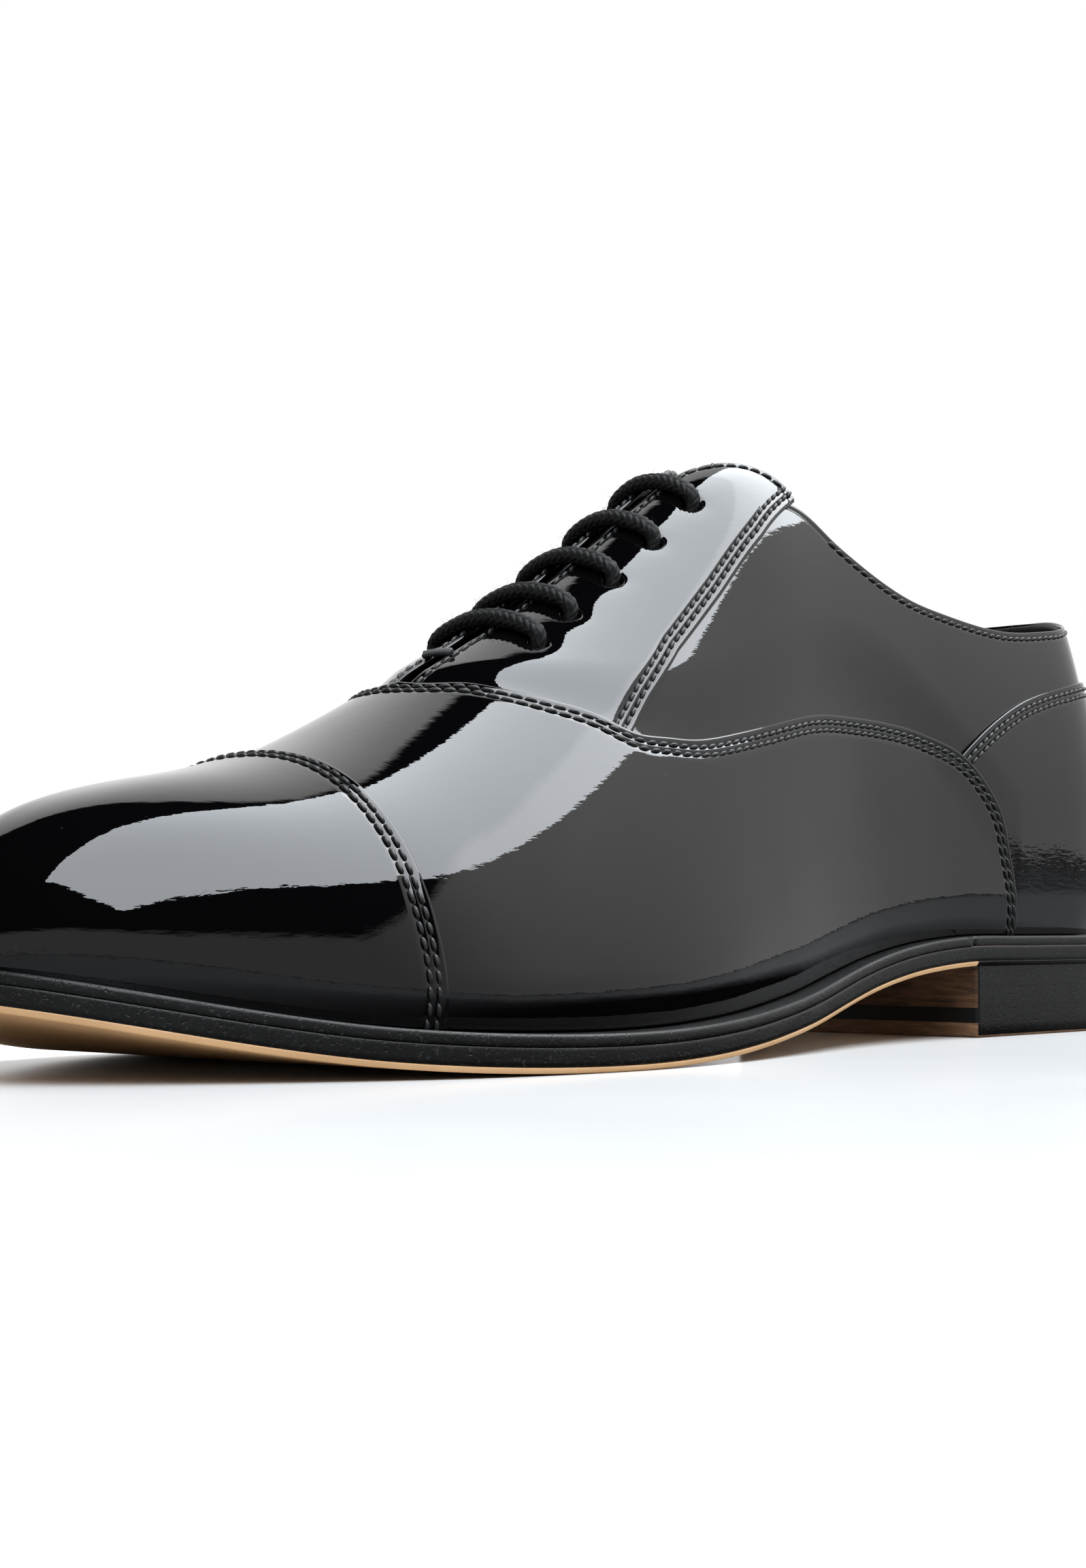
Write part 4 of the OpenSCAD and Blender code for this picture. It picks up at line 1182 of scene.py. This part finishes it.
SOCK_LOW = OUTSOLE_T + WELT_T + INSOLE_T + 0.2
SOCK_INSET = 10.8
SOCK_LINES = 70
PAD_END = 92.0        # the heel pad's front edge, from the heel's back


def sock_liner():
    """Thin leather sock with a rolled edge and a heel pad whose outline is pressed in."""
    places = np.linspace(8, TIP - 12, 170)
    shares = np.linspace(0, 1, SOCK_LINES)
    outer, inner = (edge_point(sign * places, SOCK_INSET, SOCK_LOW) for sign in (1, -1))
    span = outer[:, None] + (inner - outer)[:, None] * shares[:, None]
    rim = np.minimum(*[np.linalg.norm(span - edge[:, None], axis=-1) for edge in (outer, inner)])
    pad = np.abs(LENGTH / 2 - span[..., 1] - PAD_END + 9 * (2 * shares[None] - 1) ** 2)
    top = span.copy()
    top[..., 2] += LINING_T - 0.25 * np.exp(-rim / 0.5) - 0.14 * np.exp(-(pad / 0.5) ** 2)
    verts, quads = closed_sheet(top, span)
    new_piece("sock_liner", verts, quads, [SOCK])


sock_liner()


# ==== CAD nodes that stay ====
KEPT = {"toe_puff": BOARD, "heel_stiffener": BOARD, "insole": BOARD, "shank": STEEL,
        "cork_filler": CORK, "heel_nails": BRASS}
for node, material in KEPT.items():
    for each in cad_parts[node].material_slots:
        each.material = material


# ==== Floor, surroundings and light ====
FLOOR_SIZE = 3.0
NEAR_FLOOR = 0.1      # distances in metres between which the floor's painted shade, as the leather reflects it, brightens to grey
FAR_FLOOR = 0.2
WALL_GREY = 0.46      # radiance of the studio wall on the toe side
WALL_PALE = 0.66      # and on the heel side
GLOW = 0.55           # how much the heel side brightens on its way up
INNER_LIFT = 0.3      # how much brighter the wall behind the shoe is
WALL_TOP = 0.48       # sine of the height of the wall's top beside the shoe
TOP_SLOPE = 0.28      # how it changes from the toe's direction to the heel's
HEEL_RISE = 0.3       # how much more it rises towards the heel
INNER_RISE = 0.15     # and behind the shoe
WALL_FADE = 0.02
LIGHT_AIM = (0, -0.05, 0.05)


def floor_material():
    """Pale glossy floor that reflects the sole. In the leather's own reflections it shows painted shade
    instead: near black close to the shoe, brightening to grey further out.
    """
    s = Shade("studio_floor", 0.8, 0.2, Specular_IOR_Level=0.5)
    s.feed(Roughness=s.spread(s.noise(6, 3.0), 0.14, 0.22))
    away = s.node("ShaderNodeVectorMath", operation="LENGTH")
    s.link(s.place, away, "Vector")
    # painted shade: glossy rays see the floor near black close to the shoe, standing in for the shade
    # round it, and grey further out
    tone = s.ramp(s.spread(away.outputs["Value"], 0, 1), [(NEAR_FLOOR, 0.002), (FAR_FLOOR, 0.17)])
    dark = s.node("ShaderNodeBsdfDiffuse")
    s.link(tone, dark, "Color")
    choice = s.node("ShaderNodeMixShader")
    s.link(s.node("ShaderNodeLightPath").outputs["Is Glossy Ray"], choice, 0)
    s.link(s.surface.outputs[0], choice, 1)
    s.link(dark.outputs[0], choice, 2)
    s.link(choice.outputs[0], s.tree.nodes["Material Output"], "Surface")
    return s.material


def stage():
    mesh = bpy.data.meshes.new("floor")
    corners = [(-FLOOR_SIZE, -FLOOR_SIZE, 0), (FLOOR_SIZE, -FLOOR_SIZE, 0),
               (FLOOR_SIZE, FLOOR_SIZE, 0), (-FLOOR_SIZE, FLOOR_SIZE, 0)]
    mesh.from_pydata(corners, [], [(0, 1, 2, 3)])
    mesh.materials.append(floor_material())
    piece = bpy.data.objects.new("floor", mesh)
    bpy.context.scene.collection.objects.link(piece)


def softbox(name, turn, tilt, away, roll, size, radiance, color):
    """A rectangular light that faces the shoe; turn is its compass direction from the toe."""
    back = way(turn, tilt)
    data = bpy.data.lights.new(name, "AREA")
    data.shape = "RECTANGLE"
    data.size, data.size_y = size
    data.energy = radiance * math.pi * size[0] * size[1]
    data.color = color
    light = bpy.data.objects.new(name, data)
    bpy.context.scene.collection.objects.link(light)
    light.location = Vector(LIGHT_AIM) + back * away
    light.rotation_mode = "QUATERNION"
    light.rotation_quaternion = back.to_track_quat("Z", "Y")
    light.rotation_quaternion.rotate(Matrix.Rotation(math.radians(roll), 3, back).to_quaternion())


class World(Shade):
    """The node helpers of Shade for the world's own nodes."""

    def __init__(self):
        self.material = bpy.data.worlds.new("studio")
        self.material.use_nodes = True
        self.tree = self.material.node_tree
        self.surface = self.tree.nodes["Background"]
        self.place = self.node("ShaderNodeTexCoord").outputs["Generated"]


def surroundings():
    """White behind the shoe; what the leather reflects is a low grey wall in a black room."""
    w = World()
    split = w.node("ShaderNodeSeparateXYZ")
    w.link(w.place, split, "Vector")
    across, along, height = (split.outputs[axis] for axis in "XYZ")
    heelward = w.spread(along, 0, 1, 0.0, 0.55)
    inward = w.spread(across, 1, 0, -0.35, 0.0)
    glow = w.math("MULTIPLY", w.spread(height, 0, GLOW, 0.1, 0.75), heelward)
    wall = w.math("ADD", w.spread(heelward, WALL_GREY, WALL_PALE), glow)
    wall = w.math("ADD", wall, w.math("MULTIPLY", inward, INNER_LIFT))
    top = w.math("ADD", w.math("MULTIPLY", along, TOP_SLOPE), WALL_TOP)
    top = w.math("ADD", top, w.math("MULTIPLY", heelward, HEEL_RISE))
    top = w.math("ADD", top, w.math("MULTIPLY", inward, INNER_RISE))
    over = w.math("SUBTRACT", height, top)
    edge = w.spread(over, 1, 0, -WALL_FADE, WALL_FADE)
    room = w.math("MULTIPLY", wall, edge)
    seen = w.node("ShaderNodeLightPath").outputs["Is Camera Ray"]
    unseen = w.math("MULTIPLY", room, w.math("SUBTRACT", 1.0, seen))
    w.link(w.math("MAXIMUM", seen, unseen), w.surface, "Strength")
    w.surface.inputs["Color"].default_value = (1, 1, 1, 1)
    bpy.context.scene.world = w.material


stage()
surroundings()
softbox("overhead", 95, 70.5, 1.3, 12, (3.0, 1.06), 7.0, (0.9, 0.95, 1.0))
bpy.context.scene.view_settings.view_transform = "Standard"
